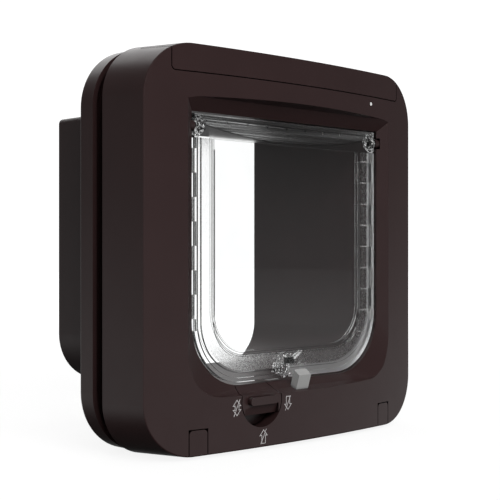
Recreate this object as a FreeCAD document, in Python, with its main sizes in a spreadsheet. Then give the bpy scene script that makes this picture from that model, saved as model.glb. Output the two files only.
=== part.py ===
"""Cat flap with a battery-powered lock, clamped through a door panel.

The indoor frame is a bowed shell with a funnel round the opening. Its rear housing carries a
tunnel that runs through the door, and the outdoor frame slides over that tunnel. Four long
screws pull the two frames together. A clear flap hangs in the tunnel's mouth.

Places are worked out from the foremost line of the bowed front: x to the right, depth behind
that line, and height above the middle of the frame. The document's origin is the middle of
the whole part's footprint, at its base, with +Y going out through the door and +Z up.
"""
import FreeCAD, Part
import math
import os
import Sketcher
from FreeCAD import Rotation, Vector

DOCUMENT = FreeCAD.newDocument("CatFlap")

# Driving dimensions in millimetres, and angles in degrees
DIMENSIONS = [
    ("frame_width", 210.0, "indoor frame's width and height at its rear edge"),
    ("frame_taper", 2.2, "how far each side has drawn in at the foremost line"),
    ("frame_corner", 28.0, "radius of the indoor frame's corners"),
    ("bow_radius", 532.7, "radius of the front's bow from side to side"),
    ("wall", 2.4, "wall of the indoor frame"),
    ("plate_room", 0.2, "room between the battery tray and the plate behind it"),
    ("indoor_depth", "=tray_front + 2 * tray_wall + 4 * cell_radius + 4 * pin_play + plate_room + plate",
     "depth of the indoor frame"),
    ("door_gap", 8.1, "space between the two frames for the door panel"),
    ("outdoor_depth", 11.7, "depth of the outdoor frame"),
    ("outdoor_corner", 32.0, "radius of the outdoor frame's corners"),
    ("outdoor_wall", 2.6, "wall of the outdoor frame"),
    ("outdoor_edge", 2.0, "rounding of the outdoor frame's outer edge"),
    ("front_edge", 0.7, "rounding of the bowed front's outer edge"),
    ("outdoor_bevel", 5.0, "width of the bevel round the outdoor opening"),
    ("tunnel_side", 26.8, "from a frame's side to the tunnel"),
    ("tunnel_width", "=frame_width - 2 * tunnel_side", "outer width of the tunnel"),
    ("tunnel_over", 30.7, "from a frame's top or foot to the tunnel"),
    ("tunnel_height", "=frame_width - 2 * tunnel_over", "outer height of the tunnel"),
    ("tunnel_wall", 2.4, "wall of the tunnel"),
    ("tunnel_foot", 27.0, "outer radius of the tunnel's lower corners"),
    ("tunnel_head", 3.2, "outer radius of the tunnel's upper corners"),
    ("tunnel_reach", 117.6, "depth of the tunnel's far end"),
    ("tunnel_start", 12.3, "depth of the tunnel's near end"),
    ("slip", 0.5, "clearance of the outdoor frame round the tunnel"),
    ("throat_side", 5.7, "how far the throat's sides stand inside the tunnel's outer faces"),
    ("throat_width", "=tunnel_width - 2 * throat_side", "opening in the indoor frame, width"),
    ("throat_over", 4.4, "how far the throat's upper edge lies under the tunnel's outer face"),
    ("throat_top", "=tunnel_height / 2 - throat_over", "opening's upper edge above the middle"),
    ("throat_under", 3.8, "how far the throat's lower edge lies over the tunnel's outer face"),
    ("throat_foot", "=tunnel_height / 2 - throat_under", "opening's lower edge below the middle"),
    ("throat_corner", 34.0, "radius of the opening's lower corners"),
    ("throat_depth", 10.0, "depth at which the funnel is narrowest"),
    ("lip", 1.8, "thickness of the funnel's inner lip"),
    ("funnel_wall", 1.5, "wall of the funnel"),
    ("funnel_break", 5.0, "depth at which the funnel's slope changes"),
    ("break_side", 7.25, "how far the funnel opens from throat to break, each side"),
    ("break_width", "=throat_width + 2 * break_side", "funnel's width at the break"),
    ("break_over", 6.85, "how far the funnel opens from throat to break, at the top"),
    ("break_top", "=throat_top + break_over", "funnel's upper edge at the break"),
    ("break_under", 3.5, "how far the funnel opens from throat to break, at the foot"),
    ("break_foot", "=throat_foot + break_under", "funnel's lower edge at the break"),
    ("break_corner", 22.0, "radius of the funnel's lower corners at the break"),
    ("mouth_side", 0.75, "how far the funnel opens from break to mouth, each side"),
    ("mouth_width", "=break_width + 2 * mouth_side", "funnel's width at the foremost line"),
    ("mouth_over", 2.25, "how far the funnel opens from break to mouth, at the top"),
    ("mouth_top", "=break_top + mouth_over", "funnel's upper edge at the foremost line"),
    ("mouth_under", 2.4, "how far the funnel opens from break to mouth, at the foot"),
    ("mouth_foot", "=break_foot + mouth_under", "funnel's lower edge at the foremost line"),
    ("mouth_corner", 21.0, "radius of the funnel's lower corners at the foremost line"),
    ("seam", 0.35, "seam round covers and the lock dial"),
    ("cover_side", 17.4, "from the frame's side to the battery cover"),
    ("cover_width", "=frame_width - 2 * cover_side", "battery cover's width"),
    ("cover_high", 15.9, "battery cover's height on the front"),
    ("cover_foot", "=frame_width / 2 - cover_high", "battery cover's lower edge above the middle"),
    ("cover_reach", 31.4, "how far back the battery cover runs over the top"),
    ("cover_corner", 2.0, "radius of the battery cover's lower corners"),
    ("cover_rib", 1.6, "thickness of the battery cover's inner ribs"),
    ("cap_width", 10.6, "width of a screw cover"),
    ("cap_high", 15.0, "screw cover's height on the front"),
    ("cap_top", "=frame_width / 2 - cap_high", "upper edge of a screw cover below the middle"),
    ("cap_reach", 11.5, "how far back a screw cover runs under the frame"),
    ("screw_side", 32.6, "from the frame's side to the fixing screws"),
    ("screw_spread", "=frame_width - 2 * screw_side", "distance between the left and right fixing screws"),
    ("screw_edge", 9.0, "from the frame's top or foot to the fixing screws"),
    ("screw_rise", "=frame_width - 2 * screw_edge", "distance between the upper and lower fixing screws"),
    ("screw_seat", 14.0, "depth of the face that a fixing screw's head rests on"),
    ("screw_floor", 2.0, "thickness under a fixing screw's head"),
    ("screw_radius", 2.0, "fixing screw's shank radius"),
    ("screw_hole", 2.25, "radius of the holes that a fixing screw passes through"),
    ("screw_head", 3.8, "radius of a fixing screw's head"),
    ("screw_crown", 2.6, "height of a fixing screw's head"),
    ("screw_length", 43.0, "fixing screw's length under its head"),
    ("post_radius", 4.5, "radius of the tubes and posts that the fixing screws use"),
    ("tapper_radius", 1.2, "shank radius of the small housing screws"),
    ("tapper_head", 2.7, "head radius of the small housing screws"),
    ("tapper_crown", 1.5, "head height of the small housing screws"),
    ("tapper_length", 12.0, "length of the small housing screws"),
    ("tapper_side", 13.5, "from the frame's side to the housing screws"),
    ("tapper_x", "=frame_width / 2 - tapper_side", "housing screws' distance from the middle, sideways"),
    ("tapper_edge", 47.0, "from the frame's top or foot to the housing screws"),
    ("tapper_z", "=frame_width / 2 - tapper_edge", "housing screws' distance from the middle, up and down"),
    ("tapper_post", 3.6, "radius of the posts that the housing screws bite in"),
    ("bore_room", 3.0, "room in a post beyond a housing screw's tip"),
    ("head_round", 0.35, "rounding of the screws' heads"),
    ("plate", 2.5, "thickness of the rear housing's plate"),
    ("fit_gap", 0.3, "ordinary clearance between neighbouring pieces"),
    ("flap_side_gap", 2.2, "gap between the flap and the throat, at the sides"),
    ("flap_width", "=throat_width - 2 * flap_side_gap", "flap's width"),
    ("flap_foot_gap", 1.3, "gap between the flap and the throat, at the foot"),
    ("flap_foot", "=throat_foot - flap_foot_gap", "flap's lower edge below the middle"),
    ("flap_corner", 33.0, "radius of the flap's lower corners"),
    ("flap_front", 10.3, "depth of the flap's front"),
    ("flap_rim_depth", 4.0, "depth of the flap's rim"),
    ("flap_rim", 2.2, "width of the flap's rim"),
    ("flap_sheet", 2.0, "thickness of the flap's sheet"),
    ("flap_border", 13.9, "width of the flap's border"),
    ("flap_border_thick", 3.2, "thickness of the flap's border"),
    ("flap_groove", 3.0, "width of the groove beside the rim"),
    ("notch_pitch", 24.7, "spacing of the notches in the flap's side rims"),
    ("notch_start", 2.1, "lower edge of one notch above the middle"),
    ("notch_low", 41.0, "lower edge of the lowest notch below the middle"),
    ("notch_front", 1.4, "how thick the rims stay in front of a notch"),
    ("hinge_drop", 7.1, "from the throat's upper edge down to the hinge line"),
    ("hinge_height", "=throat_top - hinge_drop", "flap's hinge line above the middle"),
    ("hinge_depth", 12.0, "depth of the flap's hinge line"),
    ("bar_rise", 6.3, "hinge bar's height above the hinge line"),
    ("bar_end", 2.8, "lower corners of the hinge bar's ends above the hinge line"),
    ("bar_bow", 318.0, "radius of the hinge bar's bowed underside"),
    ("bar_slant", 11.1, "how far below the hinge line the ends of that bow would meet"),
    ("bar_thick", 3.8, "thickness of the hinge bar"),
    ("window_drop", 5.8, "upper edge of the flap's window below the hinge line"),
    ("knuckle", 2.6, "radius of the flap's knuckles"),
    ("knuckle_length", 5.0, "length of a knuckle"),
    ("pin_radius", 1.5, "hinge pin's radius"),
    ("pin_play", 0.05, "radial clearance of a hinge pin or shaft"),
    ("pin_length", 9.0, "hinge pin's length"),
    ("bearing", 2.9, "radius of the hinge bearings on the tunnel's walls"),
    ("side_play", 0.6, "space between the flap and a hinge bearing"),
    ("magnet_width", 8.0, "flap magnet's length"),
    ("magnet_high", 3.6, "flap magnet's height"),
    ("magnet_thick", 2.4, "flap magnet's thickness"),
    ("pocket_rise", 8.8, "middle of the magnet pocket above the flap's lower edge"),
    ("pocket_wall", 1.6, "wall of the magnet pocket"),
    ("latch_width", 9.3, "width of a latch"),
    ("latch_thick", 4.6, "thickness of a latch"),
    ("latch_slant", 1.5, "how much higher a latch's back edge stands"),
    ("latch_depth", -0.2, "depth of the indoor latch's front edge"),
    ("latch_rise", 3.1, "how far the indoor latch stands over the throat's lower edge"),
    ("latch_top", "=throat_foot - latch_rise", "indoor latch's front edge below the middle"),
    ("latch_tilt", 17.0, "lean of the indoor latch, in degrees"),
    ("latch_length", 15.0, "length of the indoor latch"),
    ("latch_travel", 8.0, "travel of each latch"),
    ("guide_top", 14.0, "how far down the latch guide starts"),
    ("guide_foot", 33.8, "how far down the latch guide ends"),
    ("guide_side", 11.0, "half of the latch guide's width"),
    ("guide_back", 10.6, "latch guide's reach behind the latch's front face"),
    ("coil_top", 24.0, "how far down the solenoid starts"),
    ("coil_side", 8.5, "half of the solenoid's width"),
    ("coil_front", 3.4, "solenoid's reach in front of the latch's front face"),
    ("coil_back", 8.1, "solenoid's reach behind the latch's front face"),
    ("plunger_radius", 2.0, "radius of the solenoid's plunger"),
    ("plunger_length", 11.5, "length of the solenoid's plunger"),
    ("back_latch_depth", 23.2, "depth of the outdoor latch's front face"),
    ("back_latch_length", 23.0, "length of the outdoor latch"),
    ("guide_wall", 2.0, "wall of the outdoor latch's guide"),
    ("dial_x", 31.6, "lock dial's distance from the middle, to the left"),
    ("dial_under", 7.8, "from the throat's lower edge down to the dial's axis"),
    ("dial_drop", "=throat_foot + dial_under", "lock dial's axis below the middle"),
    ("dial_radius", 13.5, "lock dial's radius"),
    ("dial_back", 9.7, "depth of the lock dial's back"),
    ("well_floor", 2.1, "thickness of the floor of the dial's well"),
    ("grip_over", 2.1, "from the dial's axis up to the grip's upper edge"),
    ("grip_top", "=dial_drop - grip_over", "upper edge of the dial's grip below the middle"),
    ("grip_under", 2.1, "from the dial's axis down to the grip's lower edge"),
    ("grip_foot", "=dial_drop + grip_under", "lower edge of the dial's grip below the middle"),
    ("grip_proud", 1.2, "how far the dial's grip stands proud of the front"),
    ("grip_inset", 3.6, "how far the grip's rounded end stays from the dial's edge"),
    ("slope_high", 5.2, "height of the slope under the grip"),
    ("scoop_foot", "=grip_foot + slope_high", "lower edge of the slope under the grip, below the middle"),
    ("scoop_depth", 2.7, "depth of that slope's lower edge"),
    ("shaft_radius", 1.8, "radius of the dial's shaft"),
    ("shaft_length", 9.0, "length of the dial's shaft"),
    ("wheel_radius", 3.45, "radius of the dial's detent wheel"),
    ("wheel_thick", 3.4, "thickness of the detent wheel"),
    ("leaf_thick", 0.5, "thickness of the spring strips"),
    ("leaf_reach", 11.5, "half of the detent spring's length"),
    ("tray_wall", 1.8, "wall of the battery tray"),
    ("contact_room", 4.5, "room for a contact between a cell's button and the tray's end"),
    ("tray_half", "=cell_gap + cell_length + cell_button + fit_gap + contact_room + pin_play + tray_wall",
     "half of the battery tray's length"),
    ("tray_room", 0.35, "room between the funnel and the battery tray"),
    ("tray_base", "=break_top + funnel_wall + tray_room", "underside of the battery tray above the middle"),
    ("tray_front", 5.6, "depth of the battery tray's front"),
    ("tray_back", "=indoor_depth - plate - plate_room", "depth of the battery tray's back"),
    ("tray_top_room", 5.0, "from the frame's top to the battery tray's upper edge"),
    ("tray_high", "=frame_width / 2 - tray_top_room", "upper edge of the battery tray above the middle"),
    ("shelf_room", 1.6, "from the battery cover's side to the end of a shelf"),
    ("shelf_half", "=cover_width / 2 - shelf_room", "half of the width across the tray's screw shelves"),
    ("shelf_under", 7.6, "from the upper screws down to the shelves' lower edge"),
    ("shelf_foot", "=screw_rise / 2 - shelf_under", "lower edge of the screw shelves above the middle"),
    ("shelf_over", 2.2, "from the upper screws up to the shelves' upper edge"),
    ("shelf_top", "=screw_rise / 2 + shelf_over", "upper edge of the screw shelves above the middle"),
    ("cell_radius", 7.2, "radius of an AA cell"),
    ("cell_gap", 0.15, "distance of each cell's end from the tray's middle"),
    ("cell_row", "=2 * cell_radius + 2 * pin_play", "distance between the two rows of cells"),
    ("contact_thick", 0.6, "thickness of the contact strips"),
    ("cell_length", 49.0, "length of an AA cell's can"),
    ("cell_button", 1.2, "height of a cell's button"),
    ("cell_button_radius", 2.7, "radius of a cell's button"),
    ("cell_round", 0.7, "rounding of a cell's ends"),
    ("board_depth", 20.0, "depth of the circuit board"),
    ("board_thick", 1.6, "thickness of the circuit board"),
    ("board_room", 0.5, "gap between the tray and the circuit board"),
    ("board_left", "=tray_half + board_room", "circuit board's left edge"),
    ("board_side", 12.0, "from the frame's side to the circuit board"),
    ("board_right", "=frame_width / 2 - board_side", "circuit board's right edge"),
    ("board_under", 0.6, "how far the circuit board reaches below the tray"),
    ("board_foot", "=tray_base - board_under", "circuit board's lower edge above the middle"),
    ("board_high", 12.0, "height of the circuit board's wide part"),
    ("board_step", "=board_foot + board_high", "upper edge of the circuit board's wide part"),
    ("board_long", 20.5, "height of the circuit board's narrow part"),
    ("board_top", "=board_foot + board_long", "upper edge of the circuit board's narrow part"),
    ("board_narrow", 8.5, "width of the circuit board's narrow part"),
    ("board_tab", "=board_left + board_narrow", "right edge of the circuit board's narrow part"),
    ("light_in", 2.0, "from the circuit board's left edge to the status light"),
    ("light_x", "=board_left + light_in", "status light's distance from the middle, to the right"),
    ("light_under", 4.5, "from the battery cover down to the status light"),
    ("light_rise", "=cover_foot - light_under", "status light above the middle"),
    ("light_radius", 1.0, "radius of the status light"),
    ("button_in", 3.7, "from the circuit board's left edge to the memory button"),
    ("button_x", "=board_left + button_in", "memory button's distance from the middle, to the right"),
    ("button_under", 1.6, "from the upper screws down to the memory button"),
    ("button_rise", "=screw_rise / 2 - button_under", "memory button above the middle"),
    ("button_radius", 2.8, "radius of the memory button"),
    ("button_travel", 1.0, "travel of the memory button"),
    ("aerial_room", 0.8, "room between the aerial coil and the plate"),
    ("aerial_depth", "=indoor_depth - plate - aerial_room - aerial_width",
     "depth of the aerial coil's front"),
    ("aerial_width", 7.0, "width of the aerial coil"),
    ("aerial_thick", 2.2, "thickness of the aerial coil"),
    ("front_clear", 1.0, "how far cutting shapes start in front of the foremost line"),
    ("latch_play", 0.3, "clearance of a latch in its slot"),
    ("well_wall", 1.6, "wall round the dial's well"),
    ("pocket_side", 1.8, "wall round a screw cover's recess"),
    ("leaf_post", 1.5, "half of the width of the detent spring's posts"),
    ("leaf_post_high", 3.0, "height of the detent spring's posts"),
    ("peg_radius", 2.0, "radius of the pegs behind the circuit board"),
    ("peg_inset", 3.0, "distance of the pegs from the board's edges"),
    ("collar_wall", 2.0, "wall of the collar that slides over the tunnel"),
    ("rib_in", 7.1, "from the battery cover's side to its ribs"),
    ("rib_x", "=cover_width / 2 - rib_in", "battery cover's ribs, distance from the middle"),
    ("contact_side", 6.0, "contact strip's reach beyond a cell's axis"),
    ("contact_base", 3.2, "radius of a contact's base"),
    ("contact_point", 2.2, "radius of a contact's tip"),
    ("part_side", 4.0, "side of the square parts on the circuit board"),
    ("light_high", 0.8, "height of the light on the circuit board"),
    ("switch_high", 1.0, "height of the switch on the circuit board"),
    ("chip_in", 18.5, "from the circuit board's left edge to the chip"),
    ("chip_x", "=board_left + chip_in", "chip's distance from the middle, to the right"),
    ("button_flange", 0.9, "thickness and reach of the memory button's flange"),
    ("flap_step", 0.6, "how far the border lies behind the rim's front"),
    ("window_under", 16.2, "from the flap's lower edge up to its window"),
    ("window_foot", "=flap_foot - window_under", "lower edge of the flap's window below the middle"),
    ("bead", 0.9, "width of the bead round the window"),
    ("bead_drop", 5.6, "how far below the window's upper edge the bead ends"),
    ("cover_seam", 0.55, "seam round the battery cover and the screw covers"),
    ("window_corner", 22.0, "radius of the window's lower corners"),
    ("groove_depth", 1.2, "depth of the groove beside the rim"),
    ("bar_line", 2.3, "distance between the lines along the hinge bar"),
    ("bar_middle", 2.9, "middle line along the hinge bar above the hinge line"),
    ("bar_cut", 0.4, "depth and half width of the lines along the hinge bar"),
    ("dimple", 0.55, "half width of the dimples along the hinge bar"),
    ("dimple_pitch", 14.8, "spacing of the dimples along the hinge bar"),
    ("dimple_start", 62.4, "leftmost dimple's distance from the middle"),
    ("web_wide", 0.9, "width and height of the small web beside the magnet pocket"),
    ("web_low", 9.6, "web's lower end above the flap's lower edge"),
    ("web_rise", 4.3, "how far the web climbs"),
    ("web_near", 2.5, "web's lower end, distance from the middle"),
    ("web_run", 6.1, "how far the web runs sideways"),
    ("magnet_inset", 2.2, "depth of the magnet behind the flap's front"),
    ("stem_bite", 3.0, "how far the plunger reaches into the latch"),
    ("guide_front", 0.4, "latch guide's front behind the latch's front face"),
    ("grip_flat", 0.3, "flat left at the middle of the grip's rounded ends"),
    ("scoop_floor", 1.5, "floor of the scoop under the grip"),
    ("scoop_side", 1.9, "ring of the dial that is left beside the scoop"),
]


def fill_sheet():
    """Write the driving dimensions into the document's sheet, one alias to a row."""
    sheet = DOCUMENT.addObject("Spreadsheet::Sheet", "Sizes")
    for row, (alias, value, meaning) in enumerate(DIMENSIONS, start=1):
        sheet.set(f"A{row}", alias)
        sheet.set(f"B{row}", str(value))
        sheet.set(f"C{row}", meaning)
        sheet.setAlias(f"B{row}", alias)
    DOCUMENT.recompute()
    return sheet


class Size:
    """A size that keeps its formula, so that what uses it stays bound to the sheet."""

    def __init__(self, value, formula):
        self.value = value
        self.formula = formula

    def joined(self, other, sign, value):
        return Size(value, f"({self.formula} {sign} {formula_of(other)})")

    def __add__(self, other):
        return self.joined(other, "+", self.value + value_of(other))

    def __sub__(self, other):
        return self.joined(other, "-", self.value - value_of(other))

    def __mul__(self, other):
        return self.joined(other, "*", self.value * value_of(other))

    def __truediv__(self, other):
        return self.joined(other, "/", self.value / value_of(other))

    def __radd__(self, other):
        return as_size(other) + self

    def __rsub__(self, other):
        return as_size(other) - self

    def __rmul__(self, other):
        return as_size(other) * self

    def __neg__(self):
        return Size(-self.value, f"(0 - {self.formula})")


def value_of(size):
    return size.value if isinstance(size, Size) else float(size)


def formula_of(size):
    return size.formula if isinstance(size, Size) else f"({float(size)})"


def as_size(size):
    return Size(value_of(size), formula_of(size))


def root(size):
    return Size(math.sqrt(size.value), f"sqrt({size.formula})")


SHEET = fill_sheet()


def named(alias):
    """The size in the sheet's cell of that name."""
    return Size(float(SHEET.get(alias)), f"Sizes.{alias}")


def bind(thing, path, size):
    """Tie one property of a document object to the sheet."""
    thing.setExpression(path, formula_of(size))


# What several pieces share
half_frame = named("frame_width") / 2
indoor_depth = named("indoor_depth")
wall = named("wall")
seam = named("seam")
cover_seam = named("cover_seam")
fit_gap = named("fit_gap")
bow_radius = named("bow_radius")
outdoor_front = indoor_depth + named("door_gap")
outdoor_back = outdoor_front + named("outdoor_depth")
tunnel_reach = named("tunnel_reach")
tunnel_half = named("tunnel_width") / 2
tunnel_rise = named("tunnel_height") / 2
tunnel_wall = named("tunnel_wall")
throat_depth = named("throat_depth")
screw_x = named("screw_spread") / 2
screw_z = named("screw_rise") / 2
screw_seat = named("screw_seat")
screw_back = screw_seat + named("screw_floor")
hinge_height = named("hinge_height")
hinge_depth = named("hinge_depth")
dial_x = -named("dial_x")
dial_height = -named("dial_drop")
plate_front = indoor_depth - named("plate")
board_back = named("board_depth") + named("board_thick")
plate_half = half_frame - named("frame_taper") * named("plate") / indoor_depth - wall - fit_gap
peg_height = named("board_foot") + named("peg_inset")
peg_places = [named("board_left") + named("peg_inset"), named("board_right") - named("peg_inset")]
back_latch_front = named("back_latch_depth")
back_latch_back = back_latch_front + named("latch_thick")
back_guide_front = back_latch_front - named("latch_play") - named("guide_wall")
back_guide_back = back_latch_back + named("latch_play") + named("guide_wall")
back_guide_half = named("latch_width") / 2 + named("latch_play") + named("guide_wall")
back_guide_foot = tunnel_rise - tunnel_wall + named("back_latch_length") + named("guide_wall")
bearing_start = named("flap_width") / 2 + named("side_play")
bearing_long = tunnel_half - tunnel_wall - bearing_start
bearing_root = tunnel_half - tunnel_wall / 2
bearing_middle = (bearing_start + bearing_root) / 2
bearing_room = (bearing_root - bearing_start) / 2 + fit_gap
pin_end = bearing_start + bearing_long - fit_gap
pin_bore = named("pin_radius") + named("pin_play")
tapper_seat = indoor_depth - named("tapper_crown")
screw_tip = screw_seat + named("screw_length")
cell_height = named("tray_base") + named("tray_wall") + named("cell_radius") + named("pin_play")
row_depths = [named("tray_front") + named("tray_wall") + named("cell_radius") + named("pin_play")]
row_depths.append(row_depths[0] + named("cell_row"))
contact_outer = named("tray_half") - named("tray_wall") - named("pin_play")
contact_tip = named("cell_gap") + named("cell_length") + named("cell_button") + fit_gap
magnet_height = -named("flap_foot") + named("pocket_rise")
magnet_front = named("flap_front") + named("magnet_inset")
magnet_back = magnet_front + named("magnet_thick")
leaf_top = dial_height - named("wheel_radius") - named("pin_play")
leaf_back = named("dial_back") + seam + named("well_floor") + seam + named("wheel_thick")

# How far a cutting shape reaches past what it cuts, and the least volume that counts as a cut
CLEAR = 6.0
SMALLEST_CUT = 1e-3

# From the foremost line and the frame's middle to the document's origin
shift_y = -(tunnel_reach - named("grip_proud")) / 2
shift_z = half_frame


def bow_at(across):
    """Depth of the bowed front at a distance from the middle."""
    return bow_radius - root(bow_radius * bow_radius - across * across)


# How each sketch plane lies. A body's own pieces are drawn in the document's frame, apart
# from those that are turned or moved into place as a whole, which are drawn in their own.
NONE = as_size(0)
PLANES = {
    "XZ": {"axis": "y", "sign": -1, "move": shift_y, "x": NONE, "y": shift_z},
    "YZ": {"axis": "x", "sign": 1, "move": NONE, "x": shift_y, "y": shift_z},
    "XY": {"axis": "z", "sign": 1, "move": shift_z, "x": NONE, "y": shift_y},
}
OWN_PLANES = {
    "XZ": {"axis": "y", "sign": -1, "move": NONE, "x": NONE, "y": NONE},
    "YZ": {"axis": "x", "sign": 1, "move": NONE, "x": NONE, "y": NONE},
    "XY": {"axis": "z", "sign": 1, "move": NONE, "x": NONE, "y": NONE},
}
TURNS = {"XZ": Rotation(Vector(1, 0, 0), 90), "YZ": Rotation(Vector(1, 1, 1), 120), "XY": Rotation()}
START = 1
END = 2
CENTRE = 3


class Circle:
    """A circle to draw in a sketch."""

    def __init__(self, x, y, radius):
        self.x = as_size(x)
        self.y = as_size(y)
        self.radius = as_size(radius)


def constrain(sketch, kind, *where):
    return sketch.addConstraint(Sketcher.Constraint(kind, *where))


def pin_point(sketch, shape, point, x, y):
    """Tie a point of a sketch to its distances from the sketch's origin."""
    for kind, size in (("DistanceX", x), ("DistanceY", y)):
        number = constrain(sketch, kind, -1, START, shape, point, size.value)
        bind(sketch, f"Constraints[{number}]", size)


def set_radius(sketch, shape, radius):
    number = constrain(sketch, "Radius", shape, radius.value)
    bind(sketch, f"Constraints[{number}]", radius)


def rounding(before, corner, after, radius):
    """Where a rounded corner leaves its two runs, its centre and whether it turns left."""
    back = (before - corner).normalize()
    ahead = (after - corner).normalize()
    half_angle = back.getAngle(ahead) / 2
    run = radius / math.tan(half_angle)
    middle = (back + ahead).normalize() * (radius / math.sin(half_angle))
    turns_left = back.cross(ahead).z < 0
    return corner + back * run, corner + ahead * run, corner + middle, turns_left


def draw_circle(sketch, circle, frame):
    x = circle.x + frame["x"]
    y = circle.y + frame["y"]
    centre = Vector(x.value, y.value, 0)
    shape = sketch.addGeometry(Part.Circle(centre, Vector(0, 0, 1), circle.radius.value), False)
    pin_point(sketch, shape, CENTRE, x, y)
    set_radius(sketch, shape, circle.radius)


def draw_outline(sketch, corners, frame):
    """Draw a closed outline: each corner is x, y and, where it is rounded, a radius."""
    places = [(as_size(corner[0]) + frame["x"], as_size(corner[1]) + frame["y"]) for corner in corners]
    radii = [as_size(corner[2]) if len(corner) == 3 else None for corner in corners]
    points = [Vector(x.value, y.value, 0) for x, y in places]
    count = len(corners)
    arrive = list(points)
    leave = list(points)
    arcs = {}
    for i, radius in enumerate(radii):
        if radius is not None:
            arrive[i], leave[i], middle, turns_left = rounding(
                points[i - 1], points[i], points[(i + 1) % count], radius.value)
            first, last = (arrive[i], leave[i]) if turns_left else (leave[i], arrive[i])
            angles = [math.atan2(p.y - middle.y, p.x - middle.x) for p in (first, last)]
            ring = Part.Circle(middle, Vector(0, 0, 1), radius.value)
            arcs[i] = (Part.ArcOfCircle(ring, *angles), turns_left)
    lines = []
    for i in range(count):
        run = Part.LineSegment(leave[i], arrive[(i + 1) % count])
        lines.append(sketch.addGeometry(run, False))
    for i in range(count):
        x, y = places[i]
        if i not in arcs:
            constrain(sketch, "Coincident", lines[i - 1], END, lines[i], START)
            pin_point(sketch, lines[i], START, x, y)
            continue
        arc, turns_left = arcs[i]
        shape = sketch.addGeometry(arc, False)
        near, far = (START, END) if turns_left else (END, START)
        constrain(sketch, "Tangent", lines[i - 1], END, shape, near)
        constrain(sketch, "Tangent", shape, far, lines[i], START)
        set_radius(sketch, shape, radii[i])
        corner = sketch.addGeometry(Part.Point(points[i]), True)
        pin_point(sketch, corner, START, x, y)
        constrain(sketch, "PointOnObject", corner, START, lines[i - 1])
        constrain(sketch, "PointOnObject", corner, START, lines[i])


def draw(sketch, loops, frame):
    for loop in loops:
        if isinstance(loop, Circle):
            draw_circle(sketch, loop, frame)
        else:
            draw_outline(sketch, loop, frame)


def free_sketch(plane, at, loops):
    """A sketch outside any body, standing at a place along its plane's axis."""
    frame = PLANES[plane]
    sketch = DOCUMENT.addObject("Sketcher::SketchObject", "outline")
    sketch.Placement.Rotation = TURNS[plane]
    bind(sketch, "Placement.Base." + frame["axis"], as_size(at) + frame["move"])
    draw(sketch, loops, frame)
    return sketch


class Moulding:
    """A body that grows feature by feature from sketches on its own planes."""

    def __init__(self, name, own_frame=False):
        self.body = DOCUMENT.addObject("PartDesign::Body", name)
        self.body.Label = name
        self.frames = OWN_PLANES if own_frame else PLANES

    def sketch(self, plane, at, loops):
        frame = self.frames[plane]
        sketch = self.body.newObject("Sketcher::SketchObject", "outline")
        support = next(part for part in self.body.Origin.OriginFeatures if part.Role == plane + "_Plane")
        sketch.AttachmentSupport = [(support, "")]
        sketch.MapMode = "FlatFace"
        bind(sketch, "AttachmentOffset.Base.z", (as_size(at) + frame["move"]) * frame["sign"])
        draw(sketch, loops, frame)
        return sketch

    def feature(self, kind, plane, start, end, loops, reversed_sign):
        thing = self.body.newObject("PartDesign::" + kind, kind.lower())
        thing.Profile = self.sketch(plane, start, loops)
        bind(thing, "Length", as_size(end) - start)
        thing.Reversed = self.frames[plane]["sign"] == reversed_sign
        return thing

    def pad(self, plane, start, end, *loops):
        """Add the loops' area between two places along the plane's axis."""
        return self.feature("Pad", plane, start, end, loops, -1)

    def pocket(self, plane, start, end, *loops):
        """Cut the loops' area away between two places along the plane's axis."""
        return self.feature("Pocket", plane, start, end, loops, 1)

    def loft(self, kind, sections):
        """Add or cut straight walls from each of the places to the next."""
        sketches = [self.sketch("XZ", at, [loop]) for at, loop in sections]
        thing = self.body.newObject("PartDesign::" + kind, "loft")
        thing.Profile = sketches[0]
        thing.Sections = sketches[1:]
        thing.Ruled = True
        return thing

    def turn(self, plane, axis, loop):
        """Spin an outline about one of its sketch's own axes."""
        thing = self.body.newObject("PartDesign::Revolution", "turned")
        sketch = self.sketch(plane, 0, [loop])
        thing.Profile = sketch
        thing.ReferenceAxis = (sketch, [axis])
        thing.Angle = 360
        return thing

    def round(self, names, radius):
        """Round the edges of the last feature that have these names."""
        last = self.body.Tip
        thing = self.body.newObject("PartDesign::Fillet", "rounded")
        thing.Base = (last, names)
        bind(thing, "Radius", radius)
        return thing

    def move(self, x, y, z):
        for path, size in (("x", x), ("y", y), ("z", z)):
            bind(self.body, "Placement.Base." + path, size)


def boolean(kind, name, **links):
    thing = DOCUMENT.addObject("Part::" + kind, name)
    for link, value in links.items():
        setattr(thing, link, value)
    thing.Label = name
    return thing


def joined(name, *things):
    return boolean("MultiFuse", name, Shapes=list(things))


def shared(name, *things):
    return boolean("MultiCommon", name, Shapes=list(things))


def less(name, base, tool):
    return boolean("Cut", name, Base=base, Tool=tool)


def block(plane, start, end, *loops):
    """A straight solid between two places along a plane's axis."""
    solid = DOCUMENT.addObject("Part::Extrusion", "block")
    solid.Base = free_sketch(plane, start, loops)
    solid.DirMode = "Custom"
    solid.Dir = {"XZ": Vector(0, 1, 0), "YZ": Vector(1, 0, 0), "XY": Vector(0, 0, 1)}[plane]
    bind(solid, "LengthFwd", as_size(end) - start)
    solid.Solid = True
    return solid


def tapered_walls(name, sections):
    """A solid with straight walls from each outline to the next."""
    solid = DOCUMENT.addObject("Part::Loft", name)
    solid.Sections = [free_sketch("XZ", at, [loop]) for at, loop in sections]
    solid.Solid = True
    solid.Ruled = True
    return solid


def bow_solid(inset):
    """Everything behind the bowed front, or behind its inner face."""
    solid = DOCUMENT.addObject("Part::Cylinder", "bow")
    bind(solid, "Radius", bow_radius - inset)
    bind(solid, "Height", half_frame * 2 + 2 * CLEAR)
    bind(solid, "Placement.Base.y", shift_y + bow_radius)
    bind(solid, "Placement.Base.z", shift_z - half_frame - CLEAR)
    return solid


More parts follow.
